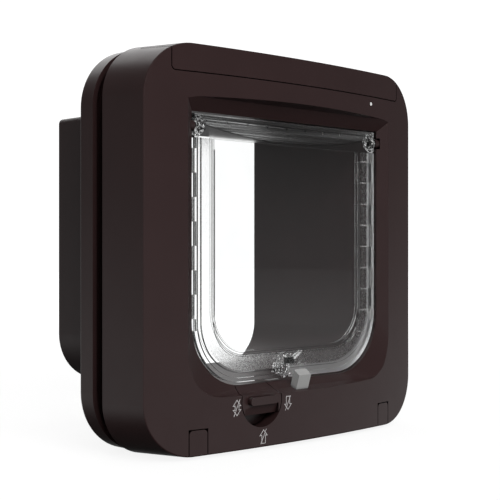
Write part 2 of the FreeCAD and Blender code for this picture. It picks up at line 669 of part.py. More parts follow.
def drafted_half(at, inset):
    """Half of the indoor frame's width at a depth."""
    taper = named("frame_taper")
    return half_frame - taper + taper * at / indoor_depth - inset


def drafted_block(name, inset, start, end, corner):
    """The indoor frame's four leaning sides, with their corners rounded."""
    piece = Moulding(name)
    wedge = piece.body.newObject("PartDesign::AdditiveWedge", "sides")
    front = drafted_half(as_size(start), inset)
    back = drafted_half(as_size(end), inset)
    bind(wedge, "Ymin", shift_y + start)
    bind(wedge, "Ymax", shift_y + end)
    for path, half in (("", front), ("2", back)):
        bind(wedge, f"X{path}min", -half)
        bind(wedge, f"X{path}max", half)
        bind(wedge, f"Z{path}min", shift_z - half)
        bind(wedge, f"Z{path}max", shift_z + half)
    DOCUMENT.recompute()
    long_edges = [f"Edge{i}" for i, edge in enumerate(wedge.Shape.Edges, start=1)
                  if abs(edge.tangentAt(edge.FirstParameter).y) > 0.5]
    piece.round(long_edges, corner)
    return piece.body


def rectangle(left, right, foot, top):
    return [(left, foot), (right, foot), (right, top), (left, top)]


def square(half, corner):
    """The square outline of a frame, with its four corners rounded."""
    return [(-half, -half, corner), (half, -half, corner), (half, half, corner), (-half, half, corner)]


def arch(half, foot, top, corner):
    """An outline with rounded lower corners and sharp upper ones."""
    return [(-half, foot, corner), (half, foot, corner), (half, top), (-half, top)]


def tunnel_outline(inset):
    """The tunnel's section, drawn in from its outer face."""
    half = tunnel_half - inset
    rise = tunnel_rise - inset
    foot = named("tunnel_foot") - inset
    head = named("tunnel_head") - inset
    return [(-half, -rise, foot), (half, -rise, foot), (half, rise, head), (-half, rise, head)]


def cell(name, side, row_depth):
    """An AA cell lying along X, its button towards the side that it faces."""
    radius = named("cell_radius")
    length = named("cell_length")
    button = length + named("cell_button")
    button_radius = named("cell_button_radius")
    piece = Moulding(name, own_frame=True)
    piece.turn("XY", "H_Axis", [
        (0, 0), (button, 0), (button, button_radius), (length, button_radius),
        (length, radius, named("cell_round")), (0, radius, named("cell_round"))])
    piece.body.Placement.Rotation = Rotation(Vector(0, 0, 1), 0 if side > 0 else 180)
    piece.move(side * named("cell_gap"), shift_y + row_depth, shift_z + cell_height)
    return piece.body


# A screw's shape, as shares of its head's radius and height and of its shank's radius
HEAD_FLAT = 0.8
HEAD_EDGE = 0.5
POINT_LONG = 0.6
POINT_WIDE = 0.5


def headed_screw(name, shank, length, head, crown, x, seat, z):
    """A screw that points out through the door, its head resting on its seat."""
    piece = Moulding(name, own_frame=True)
    edge = named("head_round")
    piece.turn("XY", "V_Axis", [
        (0, -crown), (head * HEAD_FLAT, -crown, edge), (head, -crown * HEAD_EDGE, edge), (head, 0),
        (shank, 0), (shank, length - shank * POINT_LONG), (shank * POINT_WIDE, length), (0, length)])
    piece.move(x, shift_y + seat, shift_z + z)
    return piece.body


def group(name, bodies):
    """Like pieces that share one node, each still a solid of its own."""
    return boolean("Compound", name, Links=bodies)


def both_sides(x, z, radius):
    return [Circle(side * x, z, radius) for side in (-1, 1)]


def four_places(x, z, radius):
    return [Circle(side * x, level * z, radius) for side in (-1, 1) for level in (-1, 1)]


def funnel_outline(stage, extra):
    """The funnel's opening at one of its stages, grown by its wall."""
    half = named(stage + "_width") / 2 + extra
    foot = -named(stage + "_foot") - extra
    return arch(half, foot, named(stage + "_top") + extra, named(stage + "_corner") + extra)


def on_bow(edge):
    """Whether an edge lies on the bowed front."""
    points = [edge.valueAt(edge.FirstParameter), edge.valueAt(edge.LastParameter)]
    axis = Vector(0, (shift_y + bow_radius).value, 0)
    return all(abs((Vector(p.x, p.y, 0) - axis).Length - bow_radius.value) < 0.01 for p in points)


def rounded_front(base):
    """The outer form with the edge round its bowed front rounded."""
    DOCUMENT.recompute()
    radius = named("front_edge").value
    return boolean("Fillet", "outer_form", Base=base, Edges=[
        (number, radius, radius) for number, edge in enumerate(base.Shape.Edges, start=1) if on_bow(edge)])


BEFORE = -1 * named("front_clear")
outer_form = rounded_front(shared(
    "bowed_block",
    drafted_block("outer_sides", NONE, BEFORE, indoor_depth, named("frame_corner")),
    bow_solid(NONE)))
inner_form = shared(
    "inner_form",
    drafted_block("inner_sides", wall, BEFORE, indoor_depth + CLEAR, named("frame_corner") - wall),
    bow_solid(wall))

lip_back = throat_depth + named("lip")
funnel_space = joined(
    "funnel_space",
    tapered_walls("funnel_slopes", [
        (BEFORE, funnel_outline("mouth", 0)),
        (named("funnel_break"), funnel_outline("break", 0)),
        (throat_depth, funnel_outline("throat", 0))]),
    block("XZ", throat_depth, lip_back + CLEAR, funnel_outline("throat", 0)))
well_radius = named("dial_radius") + cover_seam
well_back = named("dial_back") + seam
well_floor_back = well_back + named("well_floor")
latch_half = named("latch_width") / 2
latch_play = named("latch_play")


def tilted(piece):
    """Stand a piece that was drawn upright along the indoor latch's lean."""
    piece.body.Placement.Rotation = Rotation(Vector(1, 0, 0), named("latch_tilt").value)
    bind(piece.body, "Placement.Rotation.Angle", named("latch_tilt"))
    piece.move(NONE, shift_y + named("latch_depth"), shift_z - named("latch_top"))
    return piece.body


def front_bezel():
    """Bowed shell with the funnel, the dial's well and the two lower screw pockets."""
    shell = less("bezel_shell", outer_form, inner_form)
    throat_back = tunnel_outline(0)
    funnel = joined(
        "funnel_walls",
        tapered_walls("funnel_outside", [
            (BEFORE, funnel_outline("mouth", named("funnel_wall"))),
            (named("funnel_break"), funnel_outline("break", named("funnel_wall"))),
            (throat_depth, throat_back)]),
        block("XZ", throat_depth, lip_back, throat_back))
    well = block("XZ", BEFORE, well_floor_back, Circle(dial_x, dial_height, well_radius + named("well_wall")))
    pocket_half = named("cap_width") / 2 + seam + named("pocket_side")
    pocket_top = -named("cap_top") + seam + named("pocket_side")
    pockets = [
        block("XZ", BEFORE, screw_back, rectangle(
            side * screw_x - pocket_half, side * screw_x + pocket_half, -half_frame - CLEAR, pocket_top))
        for side in (-1, 1)]
    tapper_x = named("tapper_x")
    tapper_z = named("tapper_z")
    posts = block("XZ", BEFORE, plate_front, *four_places(tapper_x, tapper_z, named("tapper_post")))
    leaf_seat = leaf_top - named("leaf_thick")
    leaf_post = named("leaf_post")
    leaf_posts = [
        block("XZ", well_floor_back - seam, leaf_back, rectangle(
            x - leaf_post, x + leaf_post, leaf_seat - named("leaf_post_high"), leaf_seat))
        for x in (dial_x - named("leaf_reach") + leaf_post, dial_x + named("leaf_reach") - leaf_post)]
    fittings = joined("bezel_fittings", funnel, well, *pockets, posts, *leaf_posts)
    inside = shared("bezel_inside", outer_form, fittings)
    solid = joined("bezel_solid", shell, inside)

    cap_half = named("cap_width") / 2 + cover_seam
    cap_top = -named("cap_top") + cover_seam
    cap_rooms = []
    for side in (-1, 1):
        middle = side * screw_x
        room = rectangle(middle - cap_half, middle + cap_half, -half_frame - CLEAR, cap_top)
        inner_foot = -half_frame + named("frame_taper") + wall
        inner_room = rectangle(middle - cap_half, middle + cap_half, inner_foot, cap_top)
        cap_rooms.append(block("XZ", BEFORE, named("cap_reach") + cover_seam, room))
        cap_rooms.append(block("XZ", BEFORE, screw_seat, inner_room))
    slot = Moulding("latch_slot", own_frame=True)
    slot.pad("YZ", -latch_half - latch_play, latch_half + latch_play,
             rectangle(-latch_play, named("latch_thick") + latch_play, -named("guide_top"), CLEAR))
    cover_room = block("XZ", BEFORE, named("cover_reach") + cover_seam, cover_outline(cover_seam))
    around = named("bearing") + fit_gap
    bearing_rooms = [
        block("YZ", side * bearing_middle - bearing_room, side * bearing_middle + bearing_room, rectangle(
            hinge_depth - around, lip_back + CLEAR, hinge_height - around, hinge_height + around))
        for side in (-1, 1)]
    play = named("pin_play")
    light_x = named("light_x")
    screw_holes = both_sides(screw_x, -screw_z, named("screw_hole"))
    bores = four_places(tapper_x, tapper_z, named("tapper_radius") + play)
    bore_end = plate_front - named("tapper_length") - named("bore_room")
    holes = [
        block("XZ", BEFORE, well_back, Circle(dial_x, dial_height, well_radius)),
        block("XZ", BEFORE, well_floor_back + CLEAR, Circle(
            dial_x, dial_height, named("shaft_radius") + play)),
        block("XZ", screw_seat - seam, screw_back + CLEAR, *screw_holes),
        block("XZ", bore_end, plate_front + CLEAR, *bores),
        block("XZ", BEFORE, bow_at(light_x) + wall + CLEAR, Circle(
            light_x, named("light_rise"), named("light_radius") + play)),
        tilted(slot), cover_room, *cap_rooms, *bearing_rooms]
    return less("front_bezel", solid, joined("bezel_openings", funnel_space, *holes))


def rear_housing():
    """Back plate with the tunnel through the door, screw tubes, bearings and pegs."""
    piece = Moulding("rear_housing")
    piece.pad("XZ", plate_front, indoor_depth, square(plate_half, named("frame_corner") - wall - fit_gap))
    piece.pad("XZ", named("tunnel_start"), tunnel_reach, tunnel_outline(0))
    piece.pad("XZ", screw_back, indoor_depth, *four_places(screw_x, screw_z, named("post_radius")))
    piece.pad("XZ", board_back, indoor_depth, *[
        Circle(x, peg_height, named("peg_radius")) for x in peg_places])
    piece.pad("XZ", back_guide_front, back_guide_back, rectangle(
        -back_guide_half, back_guide_half, -back_guide_foot, -tunnel_rise + tunnel_wall / 2))
    piece.pocket("XZ", named("tunnel_start") - seam, tunnel_reach + CLEAR, tunnel_outline(tunnel_wall))
    for side in (-1, 1):
        ends = sorted([side * bearing_start, side * bearing_root], key=value_of)
        piece.pad("YZ", ends[0], ends[1], Circle(hinge_depth, hinge_height, named("bearing")))
        bore = sorted([side * (bearing_start - seam), side * (pin_end + fit_gap)], key=value_of)
        piece.pocket("YZ", bore[0], bore[1], Circle(hinge_depth, hinge_height, pin_bore))
    piece.pocket("XY", -back_guide_foot - CLEAR, -tunnel_rise + tunnel_wall + seam, rectangle(
        -latch_half - latch_play, latch_half + latch_play,
        back_latch_front - latch_play, back_latch_back + latch_play))
    holes = four_places(screw_x, screw_z, named("screw_hole"))
    piece.pocket("XZ", screw_back - seam, indoor_depth + CLEAR, *holes)
    piece.pocket("XZ", plate_front - seam, indoor_depth + CLEAR, *four_places(
        named("tapper_x"), named("tapper_z"), named("tapper_radius") + named("latch_play")))
    piece.pocket("XZ", tapper_seat, indoor_depth + CLEAR, *four_places(
        named("tapper_x"), named("tapper_z"), named("tapper_head") + fit_gap))
    return piece.body


def exterior_frame():
    """Outdoor frame: a hollow rounded square with a collar that slides over the tunnel."""
    piece = Moulding("exterior_frame")
    piece.pad("XZ", outdoor_front, outdoor_back, square(half_frame, named("outdoor_corner")))
    DOCUMENT.recompute()
    far = (shift_y + outdoor_back).value
    rim = [f"Edge{i}" for i, edge in enumerate(piece.body.Shape.Edges, start=1)
           if all(abs(vertex.Point.y - far) < 0.01 for vertex in edge.Vertexes)]
    piece.round(rim, named("outdoor_edge"))
    skin = outdoor_back - named("outdoor_wall")
    piece.pocket("XZ", outdoor_front - seam, skin, square(
        half_frame - named("outdoor_wall"), named("outdoor_corner") - named("outdoor_wall")))
    slip = named("slip")
    collar = -slip - named("collar_wall")
    piece.pad("XZ", outdoor_front + seam, skin + seam, tunnel_outline(collar))
    piece.pad("XZ", outdoor_front + seam, skin + seam, *four_places(screw_x, screw_z, named("post_radius")))
    piece.pocket("XZ", outdoor_front - CLEAR, outdoor_back + CLEAR, tunnel_outline(-slip))
    bevel = named("outdoor_bevel")
    piece.loft("SubtractiveLoft", [
        (outdoor_back - bevel / 2, tunnel_outline(-slip)),
        (outdoor_back + seam, tunnel_outline(-slip - bevel))])
    piece.pocket("XZ", outdoor_front - seam, screw_tip + fit_gap, *four_places(
        screw_x, screw_z, named("screw_radius") + named("pin_play")))
    return piece.body


def cover_outline(extra):
    """The battery cover seen from the front, grown by its seam."""
    half = named("cover_width") / 2 + extra
    return arch(half, named("cover_foot") - extra, half_frame + CLEAR, named("cover_corner") + extra)


def battery_cover():
    """Lift-off cover over the cells, wrapping from the front over the top."""
    panel = block("XZ", BEFORE, named("cover_reach"), cover_outline(NONE))
    skin = less("cover_skin", shared("cover_panel", outer_form, panel), inner_form)
    rib_x = named("rib_x")
    rib_half = named("cover_rib") / 2
    ribs = [
        block("XZ", wall / 2, screw_seat - seam, rectangle(
            side * rib_x - rib_half, side * rib_x + rib_half, named("cover_foot") + wall, half_frame))
        for side in (-1, 1)]
    return joined("battery_cover", skin, shared("cover_ribs", outer_form, joined("rib_pair", *ribs)))


def screw_cover(name, side):
    """Small cover that clips in front of a lower fixing screw and runs under the edge."""
    middle = side * screw_x
    half = named("cap_width") / 2
    corner = named("cover_corner")
    panel = block("XZ", BEFORE, named("cap_reach"), [
        (middle - half, -half_frame - CLEAR), (middle + half, -half_frame - CLEAR),
        (middle + half, -named("cap_top"), corner), (middle - half, -named("cap_top"), corner)])
    return less(name, shared(name + "_panel", outer_form, panel), inner_form)


def battery_tray():
    """Open trough for the cells, with a shelf at each end that a fixing screw clamps."""
    piece = Moulding("battery_tray")
    half = named("tray_half")
    thick = named("tray_wall")
    front = named("tray_front")
    back = named("tray_back")
    foot = named("tray_base")
    top = named("tray_high")
    shelf = named("shelf_half")
    piece.pad("XZ", front, back, rectangle(-half, half, foot, top))
    piece.pad("XZ", screw_seat, screw_back, rectangle(-shelf, shelf, named("shelf_foot"), named("shelf_top")))
    room = half - thick
    wall_back = front + thick
    piece.pocket("XY", foot + thick, half_frame, rectangle(-room, room, wall_back, back - thick))
    piece.pocket("XY", named("shelf_foot"), half_frame, rectangle(-room, room, front - seam, wall_back + seam))
    holes = both_sides(screw_x, screw_z, named("screw_hole"))
    piece.pocket("XZ", screw_seat - seam, screw_back + seam, *holes)
    piece.pocket("XZ", screw_seat - seam, screw_back + seam, Circle(
        named("button_x"), named("button_rise"), named("button_radius") + named("pin_play")))
    return piece.body


def contact_plate(name, side):
    """Metal strip with two stepped contacts, one for each row of cells."""
    piece = Moulding(name)
    outer = side * contact_outer
    inner = side * (contact_outer - named("contact_thick"))
    ends = sorted([outer, inner], key=value_of)
    low = named("tray_base") + named("tray_wall")
    piece.pad("YZ", ends[0], ends[1], rectangle(
        row_depths[0] - named("contact_side"), row_depths[1] + named("contact_side"),
        low, cell_height + named("contact_side")))
    half_way = (contact_outer + contact_tip) / 2
    for radius, reach in ((named("contact_base"), half_way), (named("contact_point"), contact_tip)):
        ends = sorted([inner, side * reach], key=value_of)
        piece.pad("YZ", ends[0], ends[1], *[Circle(depth, cell_height, radius) for depth in row_depths])
    return piece.body


def circuit_board():
    """Board with the light and the switch that the memory button presses."""
    piece = Moulding("circuit_board")
    depth = named("board_depth")
    left = named("board_left")
    right = named("board_right")
    tab = named("board_tab")
    piece.pad("XZ", depth, board_back, [
        (left, named("board_foot")), (right, named("board_foot")), (right, named("board_step")),
        (tab, named("board_step")), (tab, named("board_top")), (left, named("board_top"))])
    side = named("part_side") / 2
    for x, z, high in ((named("light_x") + side, named("light_rise"), named("light_high")),
                       (named("button_x"), named("button_rise"), named("switch_high")),
                       (named("chip_x"), named("light_rise"), named("switch_high"))):
        outline = rectangle(x - side, x + side, z - side, z + side)
        piece.pad("XZ", depth - high, depth + named("board_thick") / 2, outline)
    return piece.body


def light_pipe():
    """Clear rod that carries the status light to the front."""
    piece = Moulding("light_pipe")
    x = named("light_x")
    z = named("light_rise")
    radius = named("light_radius")
    tip = bow_at(x)
    flange = tip + wall + seam
    piece.pad("XZ", tip, named("board_depth") - named("light_high") - seam, Circle(x, z, radius))
    piece.pad("XZ", flange, flange + radius, Circle(x, z, radius * 2))
    return piece.body


def learn_button():
    """Button under the battery cover, held behind the tray's shelf by its flange."""
    piece = Moulding("learn_button")
    x = named("button_x")
    z = named("button_rise")
    radius = named("button_radius")
    reach = named("button_flange")
    flange = screw_back + seam / 2
    piece.pad("XZ", screw_seat - radius / 2, flange + seam, Circle(x, z, radius))
    piece.pad("XZ", flange, flange + reach, Circle(x, z, radius + reach))
    return piece.body


def flap_edge(inset, thick, top):
    """A run round the flap's sides and foot, open at the top."""
    outer = named("flap_width") / 2 - inset
    inner = outer - thick
    foot = -named("flap_foot") + inset
    corner = named("flap_corner") - inset
    return [
        (-outer, foot, corner), (outer, foot, corner), (outer, top), (inner, top),
        (inner, foot + thick, corner - thick), (-inner, foot + thick, corner - thick),
        (-inner, top), (-outer, top)]


def notch_outlines(half, rim):
    """The notches of both side rims, as many as there is room for on the straight sides."""
    pitch = named("notch_pitch")
    start = named("notch_start")
    low = -named("notch_low")
    high = hinge_height - named("window_drop")
    first = math.ceil((low - start - pitch / 2).value / pitch.value)
    last = math.floor((high - start).value / pitch.value)
    outlines = []
    for count in range(first, last + 1):
        foot = max(start + pitch * count, low, key=value_of)
        top = min(start + pitch * count + pitch / 2, high, key=value_of)
        for side in (-1, 1):
            ends = sorted([side * (half + seam), side * (half - rim)], key=value_of)
            outlines.append(rectangle(ends[0], ends[1], foot, top))
    return outlines


def hinge_bar(piece, half, rim):
    """The flap's upper bar: bowed underside, three lines along it and a row of dimples."""
    front = named("flap_front")
    top = hinge_height + named("bar_rise")
    end = hinge_height + named("bar_end")
    piece.pad("XZ", front, front + named("bar_thick"), [
        (-half, end), (0, hinge_height - named("bar_slant"), named("bar_bow")), (half, end),
        (half, top), (-half, top)])
    middle = hinge_height + named("bar_middle")
    line = named("bar_line")
    cut = named("bar_cut")
    reach = half - rim * 2
    piece.pocket("XZ", front - seam, front + cut, *[
        rectangle(-reach, reach, level - cut, level + cut) for level in (middle - line, middle, middle + line)])
    deep = named("dimple")
    pitch = named("dimple_pitch")
    start = -named("dimple_start")
    dimples = [start + pitch * count for count in range(int((reach - start).value // pitch.value) + 1)]
    piece.pocket("XZ", front - seam, front + deep * 2, *[
        rectangle(x - deep, x + deep, middle - deep, middle + deep) for x in dimples])


def magnet_pocket(piece, border_front):
    """Thin-walled box on the flap's back for its magnet, with a web beside it."""
    wide = named("magnet_width") / 2 + fit_gap
    high = named("magnet_high") / 2 + fit_gap
    around = named("pocket_wall")
    piece.pad("XZ", magnet_front - around, magnet_back + fit_gap, rectangle(
        -wide - around, wide + around, magnet_height - high - around, magnet_height + high + around))
    piece.pocket("XZ", magnet_front, magnet_back + CLEAR, rectangle(
        -wide, wide, magnet_height - high, magnet_height + high))
    low = -named("flap_foot") + named("web_low")
    top = low + named("web_rise")
    near = named("web_near")
    far = near + named("web_run")
    thick = named("web_wide")
    piece.pad("XZ", named("flap_front"), border_front + seam, [
        (near, low), (near + thick, low), (far + thick, top), (far, top)])


def flap_pane():
    """Clear flap: sheet, thicker border, notched rim, hinge bar and magnet pocket."""
    piece = Moulding("flap_pane")
    half = named("flap_width") / 2
    front = named("flap_front")
    rim = named("flap_rim")
    rim_back = front + named("flap_rim_depth")
    border_front = front + named("flap_step")
    border_back = border_front + named("flap_border_thick")
    window_top = hinge_height - named("window_drop")
    step = (named("flap_border_thick") - named("flap_sheet")) / 2
    bar_top = hinge_height + named("bar_rise")
    piece.pad("XZ", border_front, border_back, arch(half, -named("flap_foot"), bar_top, named("flap_corner")))
    piece.pad("XZ", front, rim_back, flap_edge(NONE, rim, hinge_height + named("knuckle")))
    hinge_bar(piece, half, rim)
    window = arch(half - named("flap_border"), -named("window_foot"), window_top, named("window_corner"))
    piece.pocket("XZ", border_front - seam, border_front + step, window)
    piece.pocket("XZ", border_back - step, border_back + seam, window)
    groove = flap_edge(rim, named("flap_groove"), window_top)
    piece.pocket("XZ", border_front - seam, border_front + named("groove_depth"), groove)
    piece.pocket("XZ", front + named("notch_front"), rim_back + seam, *notch_outlines(half, rim))
    bead = named("bead")
    piece.pad("XZ", front, border_front + seam, flap_edge(
        named("flap_border") - bead, bead, window_top - named("bead_drop")))
    magnet_pocket(piece, border_front)
    for side in (-1, 1):
        knuckle = sorted([side * (half - named("knuckle_length")), side * half], key=value_of)
        piece.pad("YZ", knuckle[0], knuckle[1], Circle(hinge_depth, hinge_height, named("knuckle")))
        bore = sorted([side * (pin_end - named("pin_length")), side * (half + seam)], key=value_of)
        piece.pocket("YZ", bore[0], bore[1], Circle(hinge_depth, hinge_height, named("pin_radius")))
    return piece.body


def hinge_pin(name, side):
    piece = Moulding(name)
    ends = sorted([side * (pin_end - named("pin_length")), side * pin_end], key=value_of)
    piece.pad("YZ", ends[0], ends[1], Circle(hinge_depth, hinge_height, named("pin_radius")))
    return piece.body


def flap_magnet():
    piece = Moulding("flap_magnet")
    half = named("magnet_width") / 2
    high = named("magnet_high") / 2
    outline = rectangle(-half, half, magnet_height - high, magnet_height + high)
    piece.pad("XZ", magnet_front, magnet_back, outline)
    return piece.body


def inner_latch():
    """Sloping bar that rises through the sill in front of the flap."""
    piece = Moulding("inner_latch", own_frame=True)
    thick = named("latch_thick")
    foot = -named("latch_length")
    piece.pad("YZ", -latch_half, latch_half, [
        (0, foot), (thick, foot), (thick, named("latch_slant")), (0, 0)])
    piece.pocket("XY", foot, foot + named("stem_bite"), Circle(0, thick / 2, named("plunger_radius")))
    return tilted(piece)


def latch_plunger():
    """Steel plunger pressed into the indoor latch and pulled down by the solenoid."""
    piece = Moulding("latch_plunger", own_frame=True)
    top = -named("latch_length") + named("stem_bite")
    piece.pad("XY", top - named("plunger_length"), top, Circle(
        0, named("latch_thick") / 2, named("plunger_radius")))
    return tilted(piece)


def latch_solenoid():
    piece = Moulding("latch_solenoid", own_frame=True)
    side = named("coil_side")
    top = -named("coil_top")
    foot = -named("guide_foot") + fit_gap
    piece.pad("XY", foot, top, rectangle(-side, side, -named("coil_front"), named("coil_back")))
    piece.pocket("XY", foot - seam, top + seam, Circle(
        0, named("latch_thick") / 2, named("plunger_radius") + named("pin_play")))
    return tilted(piece)


def latch_guide():
    """Cradle that guides the indoor latch and carries its solenoid."""
    piece = Moulding("latch_guide", own_frame=True)
    side = named("guide_side")
    top = -named("guide_top")
    foot = -named("guide_foot")
    front = named("guide_front")
    piece.pad("XY", foot, top, rectangle(-side, side, front, named("guide_back")))
    piece.pocket("XY", foot - seam, top + seam, rectangle(
        -latch_half - latch_play, latch_half + latch_play, front - seam, named("latch_thick") + latch_play))
    coil_room = named("coil_side") + fit_gap
    piece.pocket("XY", foot - seam, -named("coil_top") + fit_gap, rectangle(
        -coil_room, coil_room, front - seam, named("coil_back") + fit_gap))
    return tilted(piece)


def outer_latch():
    piece = Moulding("outer_latch")
    top = -tunnel_rise + tunnel_wall
    piece.pad("XZ", back_latch_front, back_latch_back, rectangle(
        -latch_half, latch_half, top - named("back_latch_length"), top))
    return piece.body


def lock_dial():
    """Dial cut flush with the bowed front and the sloping sill, with a grip and a scoop."""
    radius = named("dial_radius")
    disc = less("dial_disc", shared("dial_blank", outer_form, block(
        "XZ", BEFORE, named("dial_back"), Circle(dial_x, dial_height, radius))), funnel_space)
    grip_half = radius - named("grip_inset")
    grip_corner = (named("grip_foot") - named("grip_top")) / 2 - named("grip_flat")
    left = dial_x - grip_half
    right = dial_x + grip_half
    top = -named("grip_top")
    foot = -named("grip_foot")
    grip = block("XZ", -named("grip_proud"), named("scoop_depth"), [
        (left, foot, grip_corner), (right, foot, grip_corner),
        (right, top, grip_corner), (left, top, grip_corner)])
    shaft = block("XZ", named("dial_back") - seam, named("dial_back") + named("shaft_length"), Circle(
        dial_x, dial_height, named("shaft_radius")))
    scoop_half = radius - named("scoop_side")
    scoop_back = named("dial_back") - named("scoop_floor")
    scoop_step = -named("scoop_foot")
    below = dial_height - radius - CLEAR
    scoop = block("YZ", dial_x - scoop_half, dial_x + scoop_half, [
        (BEFORE, foot), (wall / 2, foot), (named("scoop_depth"), scoop_step), (scoop_back, scoop_step),
        (scoop_back, below), (BEFORE, below)])
    return less("lock_dial", joined("dial_solid", disc, grip, shaft), scoop)


def dial_wheel():
    piece = Moulding("dial_wheel")
    start = well_floor_back + seam
    end = start + named("wheel_thick")
    piece.pad("XZ", start, end, Circle(dial_x, dial_height, named("wheel_radius")))
    piece.pocket("XZ", start - seam, end + seam, Circle(dial_x, dial_height, named("shaft_radius")))
    return piece.body


def detent_spring():
    piece = Moulding("detent_spring")
    start = well_floor_back + seam
    piece.pad("XZ", start, start + named("wheel_thick"), rectangle(
        dial_x - named("leaf_reach"), dial_x + named("leaf_reach"), leaf_top - named("leaf_thick"), leaf_top))
    return piece.body


def antenna_coil():
    """Ring-shaped coil round the tunnel that reads the pet's chip or tag."""
    piece = Moulding("antenna_coil")
    start = named("aerial_depth")
    piece.pad("XZ", start, start + named("aerial_width"), tunnel_outline(-fit_gap - named("aerial_thick")))
    piece.pocket("XZ", start - seam, start + named("aerial_width") + seam, tunnel_outline(-fit_gap))
    return piece.body


def fixing_screws():
    sizes = [named(part) for part in ("screw_radius", "screw_length", "screw_head", "screw_crown")]
    return group("fixing_screws", [
        headed_screw(f"long_screw_{number}", *sizes, side * screw_x, screw_seat, level * screw_z)
        for number, (side, level) in enumerate(CORNERS, start=1)])


def housing_screws():
    sizes = [named(part) for part in ("tapper_radius", "tapper_length", "tapper_head", "tapper_crown")]
    screws = []
    for number, (side, level) in enumerate(CORNERS, start=1):
        screw = headed_screw(
            f"short_screw_{number}", *sizes, side * named("tapper_x"), tapper_seat, level * named("tapper_z"))
        screw.Placement.Rotation = Rotation(Vector(0, 0, 1), 180)
        screws.append(screw)
    return group("housing_screws", screws)


CORNERS = [(-1, -1), (1, -1), (-1, 1), (1, 1)]
NODES = [
    front_bezel(), rear_housing(), exterior_frame(), battery_cover(), battery_tray(),
    cell("battery_cell_1", -1, row_depths[0]), cell("battery_cell_2", 1, row_depths[0]),
    cell("battery_cell_3", -1, row_depths[1]), cell("battery_cell_4", 1, row_depths[1]),
    contact_plate("contact_plate_left", -1), contact_plate("contact_plate_right", 1),
    circuit_board(), antenna_coil(), light_pipe(), learn_button(),
    flap_pane(), hinge_pin("hinge_pin_left", -1), hinge_pin("hinge_pin_right", 1), flap_magnet(),
    inner_latch(), latch_plunger(), latch_solenoid(), latch_guide(), outer_latch(),
    lock_dial(), dial_wheel(), detent_spring(),
    screw_cover("screw_cover_left", -1), screw_cover("screw_cover_right", 1),
    fixing_screws(), housing_screws()]

DOCUMENT.recompute()


def check_document():
    """Stop if any object failed, or if a cut took nothing away."""
    for thing in DOCUMENT.Objects:
        if {"Invalid", "Error"} & set(thing.State):
            raise RuntimeError(f"{thing.Label} failed: {thing.State}")
        shape = getattr(thing, "Shape", None)
        if shape is not None and not shape.isNull() and not shape.isValid():
            raise RuntimeError(f"{thing.Label} has a bad shape")
        if thing.TypeId in ("PartDesign::Pocket", "PartDesign::SubtractiveLoft"):
            if thing.BaseFeature.Shape.Volume - shape.Volume < SMALLEST_CUT:
                raise RuntimeError(f"{thing.Label} of {thing.getParentGeoFeatureGroup().Label} cuts nothing")


check_document()
os.makedirs("parts", exist_ok=True)
for node in NODES:
    node.Shape.exportStep(f"parts/{node.Label}.step")
    print(node.Label, len(node.Shape.Solids), round(node.Shape.Volume))
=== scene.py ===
"""Looks and details of a battery-locked cat flap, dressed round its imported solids.

The frame's solids keep their shapes. Each of them gets a procedural finish here, and small
pieces that only matter to the eye are added: the printed signs round the lock dial, the
threads of the fixing screws, the parts on the circuit board, and the contact springs.
All places are in metres in the row frame: +Y out through the door and +Z up.
"""
from __future__ import annotations

import functools
import logging
import math
from dataclasses import dataclass, replace
from enum import Enum
from typing import Any

import bmesh
import bpy
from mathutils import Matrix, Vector


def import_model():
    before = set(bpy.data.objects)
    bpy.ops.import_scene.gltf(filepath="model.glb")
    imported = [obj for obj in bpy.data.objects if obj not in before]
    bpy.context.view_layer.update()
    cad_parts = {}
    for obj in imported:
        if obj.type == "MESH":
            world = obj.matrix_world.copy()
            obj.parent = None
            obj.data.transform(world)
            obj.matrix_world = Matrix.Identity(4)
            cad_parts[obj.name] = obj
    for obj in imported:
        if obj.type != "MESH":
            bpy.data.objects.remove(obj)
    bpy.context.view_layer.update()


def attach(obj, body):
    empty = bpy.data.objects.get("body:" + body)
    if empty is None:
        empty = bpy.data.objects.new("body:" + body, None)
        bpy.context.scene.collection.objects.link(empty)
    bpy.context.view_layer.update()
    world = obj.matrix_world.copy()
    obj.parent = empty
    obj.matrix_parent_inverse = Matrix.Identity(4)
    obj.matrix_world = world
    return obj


LOG = logging.getLogger("cat_flap")

# The foremost line of the bowed front and the middle of the frames, in the row frame
FRONT_Y: float = -0.0582
MIDDLE_Z: float = 0.105
BOW_RADIUS: float = 0.5327

Colour = tuple[float, float, float]
Socket = bpy.types.NodeSocket

BLACK: Colour = (0.0, 0.0, 0.0)
WHITE: Colour = (1.0, 1.0, 1.0)

# How much of its colour a plastic keeps in its deepest seams, where shade is painted in
PAINTED_CREASE_SHADE: float = 0.08


def place(x: float, depth: float, height: float) -> Vector:
    """Turn a place on the flap into the row frame.

    Args:
        x: Distance to the right of the middle, in millimetres.
        depth: Distance behind the foremost line of the front, in millimetres.
        height: Height above the middle of the frames, in millimetres.

    Returns:
        The same place in metres.
    """
    return Vector((x / 1000, FRONT_Y + depth / 1000, MIDDLE_Z + height / 1000))


def bow_depth(x: float) -> float:
    """Depth of the bowed front in millimetres, at a distance from the middle."""
    radius = BOW_RADIUS * 1000
    return radius - math.sqrt(radius * radius - x * x)


